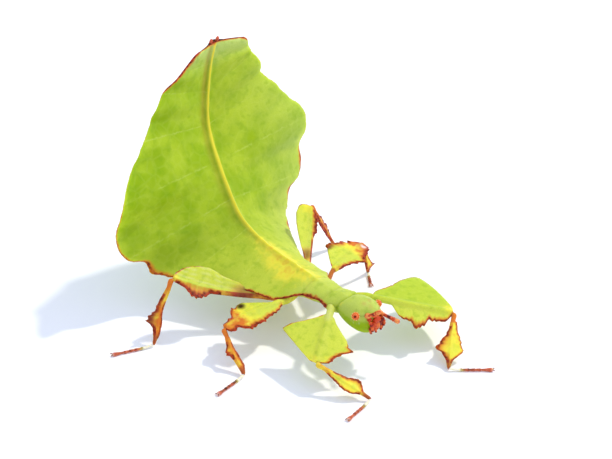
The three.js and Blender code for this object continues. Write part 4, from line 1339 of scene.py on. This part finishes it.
@dataclass
class Horn:
    """Feelers, mouthparts, tail tips and claws."""

    antennae: dict = field(
        default_factory=lambda: {
            Side.RIGHT: (
                (-0.96, -25.3, 6.85), (-0.95, -25.75, 7.1), (-0.92, -26.6, 7.75), (-0.85, -27.45, 8.5),
            ),
            Side.LEFT: ((0.95, -25.3, 6.5), (0.97, -25.75, 6.55), (1.15, -27.0, 6.5), (1.45, -28.3, 6.3)),
        }
    )
    # Shares where the joints of a feeler end, and the radius of each joint.
    antenna_joints: Sequence[float] = (0, 0.2, 0.32, 0.42, 0.51, 0.6, 0.69, 0.78, 1.0)
    antenna_radii: Sequence[float] = (0.34, 0.25, 0.21, 0.21, 0.22, 0.24, 0.27, 0.28)
    # Four points, the radius and the number of joints of every left palp.
    palps: Sequence[tuple] = (
        ((0.7, -25.6, 6.2), (0.95, -26.05, 6.1), (0.98, -26.35, 5.65), (0.85, -26.3, 5.15), 0.22, 6),
        ((0.3, -25.7, 5.6), (0.42, -26.15, 5.45), (0.45, -26.4, 5.15), (0.35, -26.3, 4.85), 0.18, 5),
        ((0.6, -25.7, 5.4), (0.95, -25.95, 5.3), (0.95, -26.05, 5.0), (0.8, -26.0, 4.7), 0.18, 4),
    )
    # Middle and half sizes of the lip, the jaws and the parts between them.
    jaws: Sequence[Rows] = (
        ((0, -25.9, 6.85), (0.55, 0.28, 0.3)),
        ((0, -26.1, 6.3), (0.55, 0.36, 0.42)),
        ((0.45, -26.05, 5.8), (0.42, 0.4, 0.5)),
        ((-0.45, -26.05, 5.8), (0.42, 0.4, 0.5)),
        ((0, -26.15, 5.6), (0.4, 0.33, 0.45)),
        ((0, -25.85, 5.1), (0.5, 0.4, 0.32)),
        ((0.85, -25.75, 6.5), (0.3, 0.25, 0.25)),
        ((-0.85, -25.75, 6.5), (0.3, 0.25, 0.25)),
    )
    cercus_root: Sequence[float] = (0.42, 0.85, 30.9)
    cercus_tip: Sequence[float] = (0.52, 0.62, 32.4)
    claw_length: float = 0.34
    claw_radius: float = 0.075
    # Distance of a claw's root from the foot's tip, along and across, and its height.
    claw_inset: float = 0.14
    claw_height: float = 0.26

    def build_antenna(self, side: Side) -> bpy.types.Object:
        """One short feeler of eight joints.

        Args:
            side: the side that it is on.
        Returns:
            The feeler.
        """
        share = np.linspace(0, 1, 97)
        path = smooth_path(along_corners(np.array(self.antennae[side]), share), 60)
        radii = bead_radii(share, self.antenna_joints, self.antenna_radii, 0.72)
        return beaded_tube(f"antenna_{side.value}_joints", path, radii, 18, share)

    def build_mouth(self) -> bpy.types.Object:
        """Lip, jaws and palps, joined.

        Returns:
            The mouthparts.
        """
        strings = []
        share = np.linspace(0, 1, 49)
        for sign in (Side.LEFT.sign, Side.RIGHT.sign):
            for number, (*corners, radius, beads) in enumerate(self.palps):
                line = np.array(corners) * (sign, 1, 1)
                path = smooth_path(along_corners(line, share), 24)
                joints = np.linspace(0, 1, beads + 1)
                radii = bead_radii(share, joints, [radius * (1 - 0.04 * k) for k in range(beads)], 0.7)
                strings.append(beaded_tube(f"palp_{number}_{sign}", path, radii, 16, share * 2 + number))
        for number, (centre, half) in enumerate(self.jaws):
            strings.append(self.lump(f"jaw_{number}", centre, half, number))
        return join(strings, "mouth_joints")

    def lump(
        self, name: str, centre: Sequence[float], half: Sequence[float], number: int
    ) -> bpy.types.Object:
        """One rounded, slightly bumpy part of the mouth.

        Args:
            name: name of the part.
            centre: its middle.
            half: its half sizes.
            number: which part it is, for its bumps and colour.
        Returns:
            The part.
        """
        rows, columns = 20, 24
        tilt = np.linspace(0, math.pi, rows + 1)[:, None]
        turn = np.linspace(0, 2 * math.pi, columns + 1)[None, :]
        bump = 1 + 0.1 * np.sin(5 * turn + number) * np.sin(tilt) ** 2 * np.cos(4 * tilt)
        bump = bump + 0.06 * np.sin(5 * tilt + number)
        wide = np.sin(tilt)
        ball = np.stack([wide * np.cos(turn), wide * np.sin(turn), np.cos(tilt) + 0 * turn], axis=-1)
        points = np.array(centre) + ball * np.array(half) * bump[..., None]
        along = np.full(points.shape[:2], 0.4 + 0.7 * number)
        return Sheet(name, columns, rows).shape(points, {ALONG_TUBE: along})

    def build_cercus(self, side: Side) -> bpy.types.Object:
        """One blunt tail tip.

        Args:
            side: the side that it is on.
        Returns:
            The tail tip.
        """
        share = np.linspace(0, 1, 33)
        root, tip = np.array(self.cercus_root), np.array(self.cercus_tip)
        path = (root + (tip - root) * share[:, None]) * (side.sign, 1, 1) + Body().leaning(np.array([1.0]))
        radii = np.interp(share, [0, 0.3, 0.7, 1], [0.2, 0.26, 0.28, 0.2])
        radii *= rounded_ends(share, 0.05, 0.16)
        return beaded_tube(f"cercus_{side.value}_horn", path, radii, 16, share, flat=0.6)

    def dress_antenna(self, side: Side) -> None:
        """Builds the feeler of a side and dresses it."""
        dress(self.build_antenna(side), FEELER_HORN.make(), "horn", f"antenna_{side.value}")

    def dress_cercus(self, side: Side) -> None:
        """Builds the tail tip of a side and dresses it."""
        dress(self.build_cercus(side), TAIL_HORN.make(), "horn", f"cercus_{side.value}")

    def dress_mouth(self) -> None:
        """Builds the mouthparts and dresses them."""
        dress(self.build_mouth(), MOUTH_HORN.make(), "horn", "mouthparts", "palp_left", "palp_right")

    def dress_claws(self) -> None:
        """Builds the claws and dresses them."""
        dress(self.build_claws(), CLAW_HORN.make(), "horn")

    def build_claws(self) -> bpy.types.Object:
        """Two hooked claws on every foot, joined.

        Returns:
            The claws.
        """
        claws = []
        share = np.linspace(0, 1, 17)
        for leg in LEGS:
            toe, ankle = np.array([*leg.toe, 0.0]), np.array([*leg.ankle, 0.0])
            ahead = unit(toe - ankle)
            across = unit(np.cross(ahead, (0, 0, 1)))
            for sign in (1, -1):
                start = toe + (across * sign - ahead) * self.claw_inset + (0, 0, self.claw_height)
                reach = ahead * 0.3 + across * sign * 0.16
                path = start + reach * (share**0.8)[:, None] * (self.claw_length / 0.4)
                path[:, 2] += 0.07 * np.sin(math.pi * share) - 0.2 * share**1.6
                radii = self.claw_radius * (1 - share) ** 0.7 * np.sqrt(np.clip(share / 0.08, 0, 1)) + 1e-4
                radii[[0, -1]] = 0.0
                claws.append(beaded_tube(f"claw_{leg.name}_{sign}", path, radii, 10, share))
        return join(claws, "claws")


@dataclass
class Eye:
    """Small round compound eye with a fringed rim."""

    side: Side
    radius: float = 0.43
    flatness: float = 0.92
    rows: int = 40
    columns: int = 72
    # How many facets lie round the eye and down it.
    facets: Sequence[int] = (24, 34)
    facet_depth: float = 0.006
    spoke_count: int = 9
    # Direction that the left eye's dark middle looks in.
    pupil: Sequence[float] = (0.72, -0.5, 0.42)
    rim_rows: int = 16
    rim_columns: int = 96
    rim_radius: float = 0.405
    rim_thickness: float = 0.035
    rim_drop: float = 0.02
    scallops: int = 10
    scallop_depth: float = 0.06
    scallop_thickness: float = 0.03

    def axis(self) -> np.ndarray:
        """Direction of the pupil."""
        return unit(np.array(self.pupil) * (self.side.sign, 1, 1))

    def centre(self) -> np.ndarray:
        """Middle of the eye."""
        return np.array(EYE_PLACE) * (self.side.sign, 1, 1)

    def spread(self, turn: np.ndarray, radial: np.ndarray, high: np.ndarray) -> np.ndarray:
        """Points round the pupil's axis.

        Args:
            turn: angle round the axis, for each column.
            radial: distance from the axis, for each [row, column].
            high: height along the axis, for each [row, column].
        Returns:
            A point for each [row, column].
        """
        axis = self.axis()
        across = unit(np.cross(axis, (0, 0, 1)))
        up = np.cross(across, axis)
        flat = np.cos(turn)[..., None] * across + np.sin(turn)[..., None] * up
        return self.centre() + flat * radial[..., None] + axis * high[..., None]

    def build(self) -> list[bpy.types.Object]:
        """Makes the eye and its rim.

        Returns:
            The eye and the rim.
        """
        turn = np.linspace(0, 2 * math.pi, self.columns + 1)[None, :]
        tilt = np.linspace(0, math.pi, self.rows + 1)[:, None]
        round_facets, down_facets = self.facets
        facet = 1 + self.facet_depth * np.sin(round_facets * turn) * np.sin(tilt) * np.sin(down_facets * tilt)
        high = self.radius * self.flatness * np.cos(tilt) * facet
        ball = self.spread(turn, self.radius * np.sin(tilt) * facet, high)
        spokes = (0.5 + 0.5 * np.cos(self.spoke_count * turn)) * np.sin(tilt)
        values = {FROM_PUPIL: np.degrees(tilt) + 0 * turn, SPOKES: spokes}
        eye = Sheet(f"eye_{self.side.value}_lens", self.columns, self.rows).shape(ball, values)
        turn = np.linspace(0, 2 * math.pi, self.rim_columns + 1)[None, :]
        loop = np.linspace(0, 2 * math.pi, self.rim_rows + 1)[:, None]
        scallop = 0.5 + 0.5 * np.cos(self.scallops * turn)
        thick = self.rim_thickness + self.scallop_thickness * scallop
        radial = self.rim_radius + self.scallop_depth * scallop + thick * np.cos(loop)
        ring = self.spread(turn, radial, 0.8 * thick * np.sin(loop) - self.rim_drop)
        values = {FROM_PUPIL: 92 + 16 * scallop + 0 * loop, SPOKES: 0 * scallop + 0 * loop}
        rim = Sheet(f"eye_{self.side.value}_rim", self.rim_columns, self.rim_rows).shape(ring, values)
        return [eye, rim]

    def dress(self) -> None:
        """Builds the eye with its rim and dresses both."""
        eye, rim = self.build()
        lens = EyeLens().make()
        dress(eye, lens, "eye", f"eye_{self.side.value}")
        dress(rim, lens, "eye")


# ---- finishes ----------------------------------------------------------------------------------

Tree = bpy.types.NodeTree
Socket = bpy.types.NodeSocket
NOISE = "ShaderNodeTexNoise"
MATHS = "ShaderNodeMath"
FADE = "ShaderNodeMapRange"
BLEND = "ShaderNodeMix"
SMOOTH = {"interpolation_type": "SMOOTHSTEP"}
# A colour mix takes its share at input 0 and its colours at 6 and 7, and gives its result at output 2.
SHARE, UNDER, OVER, MIXED = 0, 6, 7, 2


def add_node(
    tree: Tree, kind: str, links: dict | Sequence[object] = (), output: int | str = 0, **settings: object
) -> Socket:
    """Adds a node with its settings and links.

    Args:
        tree: the material's node tree.
        kind: the node's type.
        links: sockets or constants for its inputs, in order, or by name or number.
        output: name or number of the output that is handed back.
        settings: properties of the node.
    Returns:
        The output.
    """
    node = tree.nodes.new(kind)
    for name, value in settings.items():
        setattr(node, name, value)
    for key, value in links.items() if isinstance(links, dict) else enumerate(links):
        if isinstance(value, Socket):
            tree.links.new(value, node.inputs[key])
        else:
            node.inputs[key].default_value = value
    return node.outputs[output]


@dataclass(frozen=True)
class Finish:
    """Base of every finish: one glossy shader over a procedural colour."""

    name: str

    def inputs(self, tree: Tree) -> dict[str, object]:
        """Sockets and constants for the shader's inputs, which every finish gives itself."""
        raise NotImplementedError(self.name)

    def make(self) -> bpy.types.Material:
        """Builds the material the first time, and finds it again after that.

        Returns:
            The material.
        """
        if self.name in bpy.data.materials:
            return bpy.data.materials[self.name]
        material = bpy.data.materials.new(self.name)
        material.use_nodes = True
        tree = material.node_tree
        tree.nodes.clear()
        shader = add_node(tree, "ShaderNodeBsdfPrincipled", self.inputs(tree))
        target = tree.nodes.new("ShaderNodeOutputMaterial")
        tree.links.new(shader, target.inputs["Surface"])
        return material


@dataclass(frozen=True)
class LivingSkin(Finish):
    """Living insect cuticle, thin and leaf-like: a soft waxy gloss, light shines through it, and its
    edges dry to orange and red-brown."""

    name: str = "living_cuticle_leaf_green"
    leaf: str = "#8caa06"
    leaf_light: str = "#a9be26"
    # Darker green of spots, blotches and grain, and also of painted shade on the abdomen.
    leaf_spot: str = "#739c00"
    # Greener tone of the cheeks, and also of painted shade on the femora and the abdomen.
    cheek: str = "#9ab300"
    # Pale yellow-green, also used as a painted highlight on the left half of the abdomen.
    lime: str = "#c9cf4a"
    # Greyish green, also used as a painted highlight on the left half of the abdomen.
    grey: str = "#c2cf7c"
    yellow: str = "#e6d844"
    orange: str = "#cf7427"
    rust: str = "#a2371a"
    rust_deep: str = "#661508"
    pink: str = "#c25048"
    pale: str = "#f3e6de"
    dark: str = "#2f0f0a"
    rib: str = "#dcca3a"
    # Colour of the painted shade on the midrib's right side.
    rib_shade: str = "#9c7d26"
    vein: str = "#c4cf60"
    # Width of each noise's patches in millimetres, and its detail.
    patches: tuple[float, float] = (3.0, 2.0)
    clouds: tuple[float, float] = (1.5, 2.0)
    breaks: tuple[float, float] = (1.4, 2.0)
    blotches: tuple[float, float] = (0.9, 2.0)
    mottle: tuple[float, float] = (0.5, 3.0)
    drying: tuple[float, float] = (0.35, 2.0)
    grain: tuple[float, float] = (0.12, 2.0)
    # Width of a cell in the net of small veins, and how far the midrib's pale crest is set off its middle
    # towards the lit side, as a painted highlight.
    net_width: float = 1.3
    rib_shift: float = 0.08

    def inputs(self, tree: Tree) -> dict[str, object]:
        """Colour in thin layers, a fine relief, and light that shines through.

        Args:
            tree: the material's node tree.
        Returns:
            Sockets and constants by the name of the shader's input.
        """
        place = add_node(tree, "ShaderNodeTexCoord", output="Object")
        marks_read = {
            mark: add_node(tree, "ShaderNodeAttribute", output="Fac", attribute_name=mark.value)
            for mark in Mark
        }
        sizes = {name: getattr(self, name) for name in self.noise_names()}
        noise = {
            name: add_node(tree, NOISE, {"Vector": place, "Scale": 1 / (width * MM), "Detail": detail})
            for name, (width, detail) in sizes.items()
        }
        scale = 1 / (self.net_width * MM)
        links = {"Vector": place, "Scale": scale}
        cells = add_node(tree, "ShaderNodeTexVoronoi", links, "Distance", feature="DISTANCE_TO_EDGE")
        net = add_node(tree, FADE, (cells, 0.0, 0.16, 1.0, 0.0), **SMOOTH)
        wobble = add_node(tree, MATHS, (noise["mottle"], 0.5), operation="SUBTRACT")
        vein = self.vein_share(tree, marks_read, noise, wobble)
        light = add_node(tree, FADE, (noise["patches"], 0.32, 0.68, 0.0, 1.0), **SMOOTH)
        greens = {SHARE: light, UNDER: srgb(self.leaf), OVER: srgb(self.leaf_light)}
        colour = add_node(tree, BLEND, greens, MIXED, data_type="RGBA")
        layers = [
            *self.green_layers(tree, marks_read, noise, wobble, vein, net),
            *self.rib_layers(tree, marks_read),
            *self.warm_layers(tree, marks_read, noise, wobble),
            *self.edge_layers(tree, marks_read, noise, wobble),
            (marks_read[Mark.PINK], srgb(self.pink)),
            (marks_read[Mark.PALE], srgb(self.pale)),
            (marks_read[Mark.DARK], srgb(self.dark)),
        ]
        for share, over in layers:
            colour = add_node(tree, BLEND, {SHARE: share, UNDER: colour, OVER: over}, MIXED, data_type="RGBA")
        height = add_node(tree, MATHS, (noise["mottle"], 0.6), operation="MULTIPLY")
        for part, strength in ((noise["grain"], 0.25), (vein, 0.6), (net, 0.12)):
            height = add_node(tree, MATHS, (part, strength, height), operation="MULTIPLY_ADD")
        relief = {"Height": height, "Strength": 0.4, "Distance": 0.05 * MM}
        return {
            "Base Color": colour,
            "Normal": add_node(tree, "ShaderNodeBump", relief, "Normal"),
            "Roughness": 0.5,
            "IOR": 1.45,
            "Specular IOR Level": 0.14,
            "Subsurface Weight": 0.62,
            "Subsurface Radius": (1.0, 1.0, 0.25),
            "Subsurface Scale": 0.58 * MM,
        }

    def noise_names(self) -> Sequence[str]:
        """Names of the noises, from the widest to the finest."""
        return ("patches", "clouds", "breaks", "blotches", "mottle", "drying", "grain")

    def vein_share(
        self, tree: Tree, read: dict[Mark, Socket], noise: dict[str, Socket], wobble: Socket
    ) -> Socket:
        """Strength of the side veins, thin wavering lines with breaks in them.

        Args:
            tree: the material's node tree.
            read: values stored on the mesh.
            noise: noises by name.
            wobble: mottle around nought.
        Returns:
            Share of the vein's colour.
        """
        phase = add_node(tree, MATHS, (wobble, 0.07, read[Mark.VEIN]), operation="MULTIPLY_ADD")
        to_vein = add_node(tree, MATHS, (phase, 0.5), operation="PINGPONG")
        line = add_node(tree, FADE, (to_vein, 0.004, 0.03, 1.0, 0.0), **SMOOTH)
        broken = add_node(tree, FADE, (noise["breaks"], 0.4, 0.62, 0.05, 0.38), **SMOOTH)
        return add_node(tree, MATHS, (line, broken), operation="MULTIPLY")

    def green_layers(
        self,
        tree: Tree,
        read: dict[Mark, Socket],
        noise: dict[str, Socket],
        wobble: Socket,
        vein: Socket,
        net: Socket,
    ) -> list[tuple]:
        """Layers of the living green: spots, veins, limes and greys, blotches and cells, with the painted
        shade and painted highlight that the same marks carry.

        Args:
            tree: the material's node tree.
            read: values stored on the mesh.
            noise: noises by name.
            wobble: mottle around nought.
            vein: share of the vein's colour.
            net: fine net of small veins, one at a line and nought between the lines.
        Returns:
            Share and colour of every layer, from the lowest up.
        """
        spot = add_node(tree, MATHS, (wobble, 0.4, read[Mark.SPOT]), operation="MULTIPLY_ADD")
        thin_net = add_node(tree, MATHS, (net, 0.1), operation="MULTIPLY")
        return [
            # Darker green where the mask of spots and painted shade is strong.
            (add_node(tree, FADE, (spot, 0.15, 0.9, 0.0, 0.7), **SMOOTH), srgb(self.leaf_spot)),
            (vein, srgb(self.vein)),
            (thin_net, srgb(self.vein)),
            # Pale yellow-green and greyish green, which also paint the highlight on the left half of the
            # abdomen.
            (read[Mark.LIME], srgb(self.lime)),
            (read[Mark.GREY], srgb(self.grey)),
            # Greener tone of the cheeks, which also paints the shade on the femora and the abdomen.
            (add_node(tree, FADE, (spot, 0.35, 1.0, 0.0, 0.75), **SMOOTH), srgb(self.cheek)),
            (add_node(tree, FADE, (noise["blotches"], 0.5, 0.7, 0.0, 0.3), **SMOOTH), srgb(self.leaf_spot)),
            (add_node(tree, FADE, (noise["grain"], 0.35, 0.65, 0.0, 0.14), **SMOOTH), srgb(self.leaf_spot)),
        ]

    def rib_layers(self, tree: Tree, read: dict[Mark, Socket]) -> list[tuple]:
        """Layers along the midrib: brownish painted shade on its right side, which is turned from the light,
        and pale yellow on its crest, set towards the lit side as a painted highlight.

        Args:
            tree: the material's node tree.
            read: values stored on the mesh.
        Returns:
            Share and colour of every layer, from the lowest up.
        """
        # Painted shade on the right side of the midrib, which is turned from the light.
        crease = add_node(tree, MATHS, (read[Mark.OCHRE], 0.75), operation="MULTIPLY")
        # The pale crest is the midrib's own colour, set towards the lit side as a painted highlight.
        from_crest = add_node(tree, MATHS, (read[Mark.RIB], self.rib_shift), operation="SUBTRACT")
        away = add_node(tree, MATHS, (from_crest,), operation="ABSOLUTE")
        crest = add_node(tree, FADE, (away, 0.14, 0.44, 0.85, 0.0), **SMOOTH)
        body = add_node(tree, FADE, (read[Mark.LIME], 0.5, 0.9, 1.0, 0.0), **SMOOTH)
        pale = add_node(tree, MATHS, (crest, body), operation="MULTIPLY")
        return [(crease, srgb(self.rib_shade)), (pale, srgb(self.rib))]

    def warm_layers(
        self, tree: Tree, read: dict[Mark, Socket], noise: dict[str, Socket], wobble: Socket
    ) -> list[tuple]:
        """Layers of the warm stretches: yellow that turns to orange.

        Args:
            tree: the material's node tree.
            read: values stored on the mesh.
            noise: noises by name.
            wobble: mottle around nought.
        Returns:
            Share and colour of every layer, from the lowest up.
        """
        clouds = add_node(tree, FADE, (noise["clouds"], 0.38, 0.6, 0.68, 1.2), **SMOOTH)
        clouded = add_node(tree, MATHS, (read[Mark.WARM], clouds), operation="MULTIPLY")
        warmth = add_node(tree, MATHS, (wobble, 0.35, clouded), operation="MULTIPLY_ADD")
        return [
            (add_node(tree, FADE, (warmth, 0.08, 0.5, 0.0, 0.85), **SMOOTH), srgb(self.yellow)),
            (add_node(tree, FADE, (warmth, 0.45, 0.95, 0.0, 1.0), **SMOOTH), srgb(self.orange)),
        ]

    def edge_layers(
        self, tree: Tree, read: dict[Mark, Socket], noise: dict[str, Socket], wobble: Socket
    ) -> list[tuple]:
        """Layers of the free edges: an orange halo that deepens to dry red-brown.

        Args:
            tree: the material's node tree.
            read: values stored on the mesh.
            noise: noises by name.
            wobble: mottle around nought.
        Returns:
            Share and colour of every layer, from the lowest up.
        """
        width = add_node(tree, MATHS, (read[Mark.RUST], 0.004), operation="MAXIMUM")
        depth = add_node(tree, MATHS, (wobble, 0.45, read[Mark.EDGE]), operation="MULTIPLY_ADD")
        share = add_node(tree, MATHS, (depth, width), operation="DIVIDE")
        strength = add_node(tree, FADE, (read[Mark.RUST], 0.01, 0.1, 0.0, 1.0), **SMOOTH)
        patchy = add_node(tree, FADE, (noise["drying"], 0.4, 0.65, 0.0, 1.0), **SMOOTH)
        browns = {SHARE: patchy, UNDER: srgb(self.rust), OVER: srgb(self.rust_deep)}
        dry = add_node(tree, BLEND, browns, MIXED, data_type="RGBA")
        layers = []
        for limits, over in (((0.8, 2.4, 0.85, 0.0), srgb(self.orange)), ((0.5, 1.3, 1.0, 0.0), dry)):
            band = add_node(tree, FADE, (share, *limits), **SMOOTH)
            layers.append((add_node(tree, MATHS, (band, strength), operation="MULTIPLY"), over))
        return layers


@dataclass(frozen=True)
class RedHorn(Finish):
    """Hard horn of the feelers, mouthparts, tail tips and claws: opaque, from orange to dark red."""

    name: str = "polished_insect_horn_red"
    base: str = "#c23f22"
    light: str = "#e2703f"
    deep: str = "#6a0f0a"
    bands: float = 1.0
    shift: float = 0.0
    grain: float = 0.3

    def inputs(self, tree: Tree) -> dict[str, object]:
        """Bands of dark and light along the joints, broken by a fine mottle.

        Args:
            tree: the material's node tree.
        Returns:
            Sockets and constants by the name of the shader's input.
        """
        place = add_node(tree, "ShaderNodeTexCoord", output="Object")
        along = add_node(tree, "ShaderNodeAttribute", output="Fac", attribute_name=ALONG_TUBE)
        mottle = add_node(tree, NOISE, {"Vector": place, "Scale": 1 / (self.grain * MM), "Detail": 3.0})
        counted = add_node(tree, MATHS, (along, self.bands, self.shift), operation="MULTIPLY_ADD")
        stripe = add_node(tree, MATHS, (counted, 1.0), operation="PINGPONG")
        centred = add_node(tree, MATHS, (mottle, 2.0, -1.0), operation="MULTIPLY_ADD")
        value = add_node(tree, MATHS, (stripe, centred), operation="ADD")
        colour = srgb(self.base)
        for limits, over in (((0.0, 0.42, 1.0, 0.0), self.deep), ((0.5, 0.95, 0.0, 1.0), self.light)):
            share = add_node(tree, FADE, (value, *limits), **SMOOTH)
            mix = {SHARE: share, UNDER: colour, OVER: srgb(over)}
            colour = add_node(tree, BLEND, mix, MIXED, data_type="RGBA")
        relief = {"Height": mottle, "Strength": 0.4, "Distance": 0.04 * MM}
        return {
            "Base Color": colour,
            "Normal": add_node(tree, "ShaderNodeBump", relief, "Normal"),
            "Roughness": 0.4,
            "IOR": 1.55,
            "Specular IOR Level": 0.25,
            "Subsurface Weight": 0.25,
            "Subsurface Radius": (1.0, 0.35, 0.2),
            "Subsurface Scale": 0.2 * MM,
        }


FEELER_HORN = RedHorn(
    name="polished_insect_horn_feeler", base="#c9481c", light="#e8924a", bands=3.0, shift=0.35
)
TAIL_HORN = RedHorn(
    name="polished_insect_horn_tail", base="#b03c22", light="#cc6038", deep="#8c2a1a", bands=0.6, shift=0.4
)
MOUTH_HORN = RedHorn(
    name="polished_insect_horn_mouth", base="#c93c10", light="#e2702c", deep="#5e0c02", bands=2.2, grain=0.09
)
CLAW_HORN = RedHorn(name="polished_insect_horn_claw", base="#7c3a20", light="#a8603a", deep="#3a120c")


@dataclass(frozen=True)
class EyeLens(Finish):
    """Faceted compound eye with a soft gloss: a dark middle, a red ring and a paler orange border."""

    name: str = "faceted_eye_red"
    pupil: str = "#4c0401"
    ring: str = "#d9531c"
    spoke: str = "#fccf9c"
    border: str = "#e27024"
    rim: str = "#f6d29a"
    grain: float = 0.14
    unevenness: float = 22.0

    def inputs(self, tree: Tree) -> dict[str, object]:
        """Rings of colour by the angle from the pupil in degrees, with pale spokes between them.

        Args:
            tree: the material's node tree.
        Returns:
            Sockets and constants by the name of the shader's input.
        """
        place = add_node(tree, "ShaderNodeTexCoord", output="Object")
        stored, spokes = (
            add_node(tree, "ShaderNodeAttribute", output="Fac", attribute_name=name)
            for name in (FROM_PUPIL, SPOKES)
        )
        noise = add_node(tree, NOISE, {"Vector": place, "Scale": 1 / (self.grain * MM), "Detail": 2.0})
        swing = (noise, self.unevenness, -self.unevenness / 2)
        uneven = add_node(tree, MATHS, swing, operation="MULTIPLY_ADD")
        angle = add_node(tree, MATHS, (stored, uneven), operation="ADD")
        fades = {
            "ring": (angle, 13.0, 22.0, 0.0, 1.0),
            "inner": (angle, 18.0, 30.0, 0.0, 0.8),
            "outer": (angle, 40.0, 54.0, 1.0, 0.0),
            "spokes": (spokes, 0.3, 0.7, 0.0, 0.9),
            "border": (angle, 46.0, 60.0, 0.0, 1.0),
            "rim": (angle, 92.0, 112.0, 0.0, 1.0),
        }
        shares = {name: add_node(tree, FADE, row, **SMOOTH) for name, row in fades.items()}
        between = add_node(tree, MATHS, (shares["inner"], shares["outer"]), operation="MULTIPLY")
        rays = add_node(tree, MATHS, (between, shares["spokes"]), operation="MULTIPLY")
        layers = (
            (shares["ring"], self.ring),
            (rays, self.spoke),
            (shares["border"], self.border),
            (shares["rim"], self.rim),
        )
        colour = srgb(self.pupil)
        for share, over in layers:
            mix = {SHARE: share, UNDER: colour, OVER: srgb(over)}
            colour = add_node(tree, BLEND, mix, MIXED, data_type="RGBA")
        return {"Base Color": colour, "Roughness": 0.4, "IOR": 1.5, "Specular IOR Level": 0.12}


@dataclass(frozen=True)
class PaleFloor(Finish):
    """Matt white studio board."""

    name: str = "matt_white_board"
    tone: str = "#fafafa"

    def inputs(self, tree: Tree) -> dict[str, object]:
        """One even tone with hardly any gloss."""
        return {"Base Color": srgb(self.tone), "Roughness": 0.9, "Specular IOR Level": 0.1}


# ---- studio ------------------------------------------------------------------------------------


@dataclass
class Studio:
    """Floor, lights and camera."""

    camera_back: Sequence[float] = (-0.5826, -0.6033, 0.5446)
    camera_aim: Sequence[float] = (14.0, 0.0, 0.0)
    camera_distance: float = 300.0
    lens: float = 141.18
    sensor_width: float = 36.0
    # Nearest and farthest distance that the camera sees, in metres.
    camera_sight: Sequence[float] = (0.02, 10.0)
    light_towards: Sequence[float] = (0.685, -0.175, 1.0)
    light_distance: float = 900.0
    light_size: float = 60.0
    light_power: float = 4.6
    light_aim: Sequence[float] = (0.0, -10.0, 6.0)
    light_colour: str = "#fffaf0"
    sky: str = "#e2eaff"
    sky_strength: float = 1.1
    floor_size: float = 4000.0
    floor_gap: float = 0.02

    def build_floor(self) -> bpy.types.Object:
        """Lays the floor just under the feet.

        Returns:
            The floor.
        """
        deselect_all()
        bpy.ops.mesh.primitive_plane_add(size=self.floor_size * MM, location=(0, 0, -self.floor_gap * MM))
        floor = bpy.context.object
        floor.name = "floor"
        bpy.ops.object.transform_apply(location=True)
        floor.data.materials.append(PaleFloor().make())
        return floor

    def build_light(self) -> None:
        """One soft key light from the animal's left, and an even pale sky."""
        towards = unit(np.array(self.light_towards))
        lamp = bpy.data.lights.new("key", "AREA")
        lamp.shape = "DISK"
        lamp.size = self.light_size * MM
        lamp.energy = self.light_power
        lamp.color = srgb(self.light_colour)[:3]
        key = bpy.data.objects.new("key", lamp)
        bpy.context.scene.collection.objects.link(key)
        key.location = LAYOUT.place(np.array(self.light_aim) + towards * self.light_distance)
        key.rotation_euler = Vector(-towards).to_track_quat("-Z", "Y").to_euler()
        world = bpy.data.worlds.new("even_sky")
        world.use_nodes = True
        sky = world.node_tree.nodes["Background"]
        sky.inputs["Color"].default_value = srgb(self.sky)
        sky.inputs["Strength"].default_value = self.sky_strength
        bpy.context.scene.world = world

    def build_camera(self) -> None:
        """Long lens from the front right, a little above."""
        back = unit(np.array(self.camera_back))
        lens = bpy.data.cameras.new("camera")
        lens.lens = self.lens
        lens.sensor_width = self.sensor_width
        lens.clip_start, lens.clip_end = self.camera_sight
        camera = bpy.data.objects.new("camera", lens)
        bpy.context.scene.collection.objects.link(camera)
        camera.location = LAYOUT.place(np.array(self.camera_aim) + back * self.camera_distance)
        camera.rotation_euler = Vector(-back).to_track_quat("-Z", "Y").to_euler()
        bpy.context.scene.camera = camera
        bpy.context.scene.view_settings.view_transform = "Standard"


# ---- the whole animal --------------------------------------------------------------------------


def dress(piece: bpy.types.Object, material: bpy.types.Material, slot: str, *nodes: str) -> None:
    """Gives a piece its finish, hangs it from the root body and hides the CAD nodes that it replaces.

    Args:
        piece: the piece.
        material: its finish.
        slot: not used.
        nodes: CAD nodes that the piece replaces.
    """
    piece.data.materials.clear()
    piece.data.materials.append(material)
    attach(piece, "root")
    if nodes:
        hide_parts(*nodes)
    log.info("%s: %d faces", piece.name, len(piece.data.polygons))


def main() -> None:
    """Builds the studio and every piece."""
    logging.basicConfig(level=logging.INFO, format="%(name)s %(message)s")
    studio = Studio()
    studio.build_camera()
    studio.build_floor()
    studio.build_light()
    Skin().dress()
    horn = Horn()
    for side in Side:
        horn.dress_antenna(side)
        horn.dress_cercus(side)
        Eye(side).dress()
    horn.dress_mouth()
    horn.dress_claws()


if __name__ == "__main__":
    main()
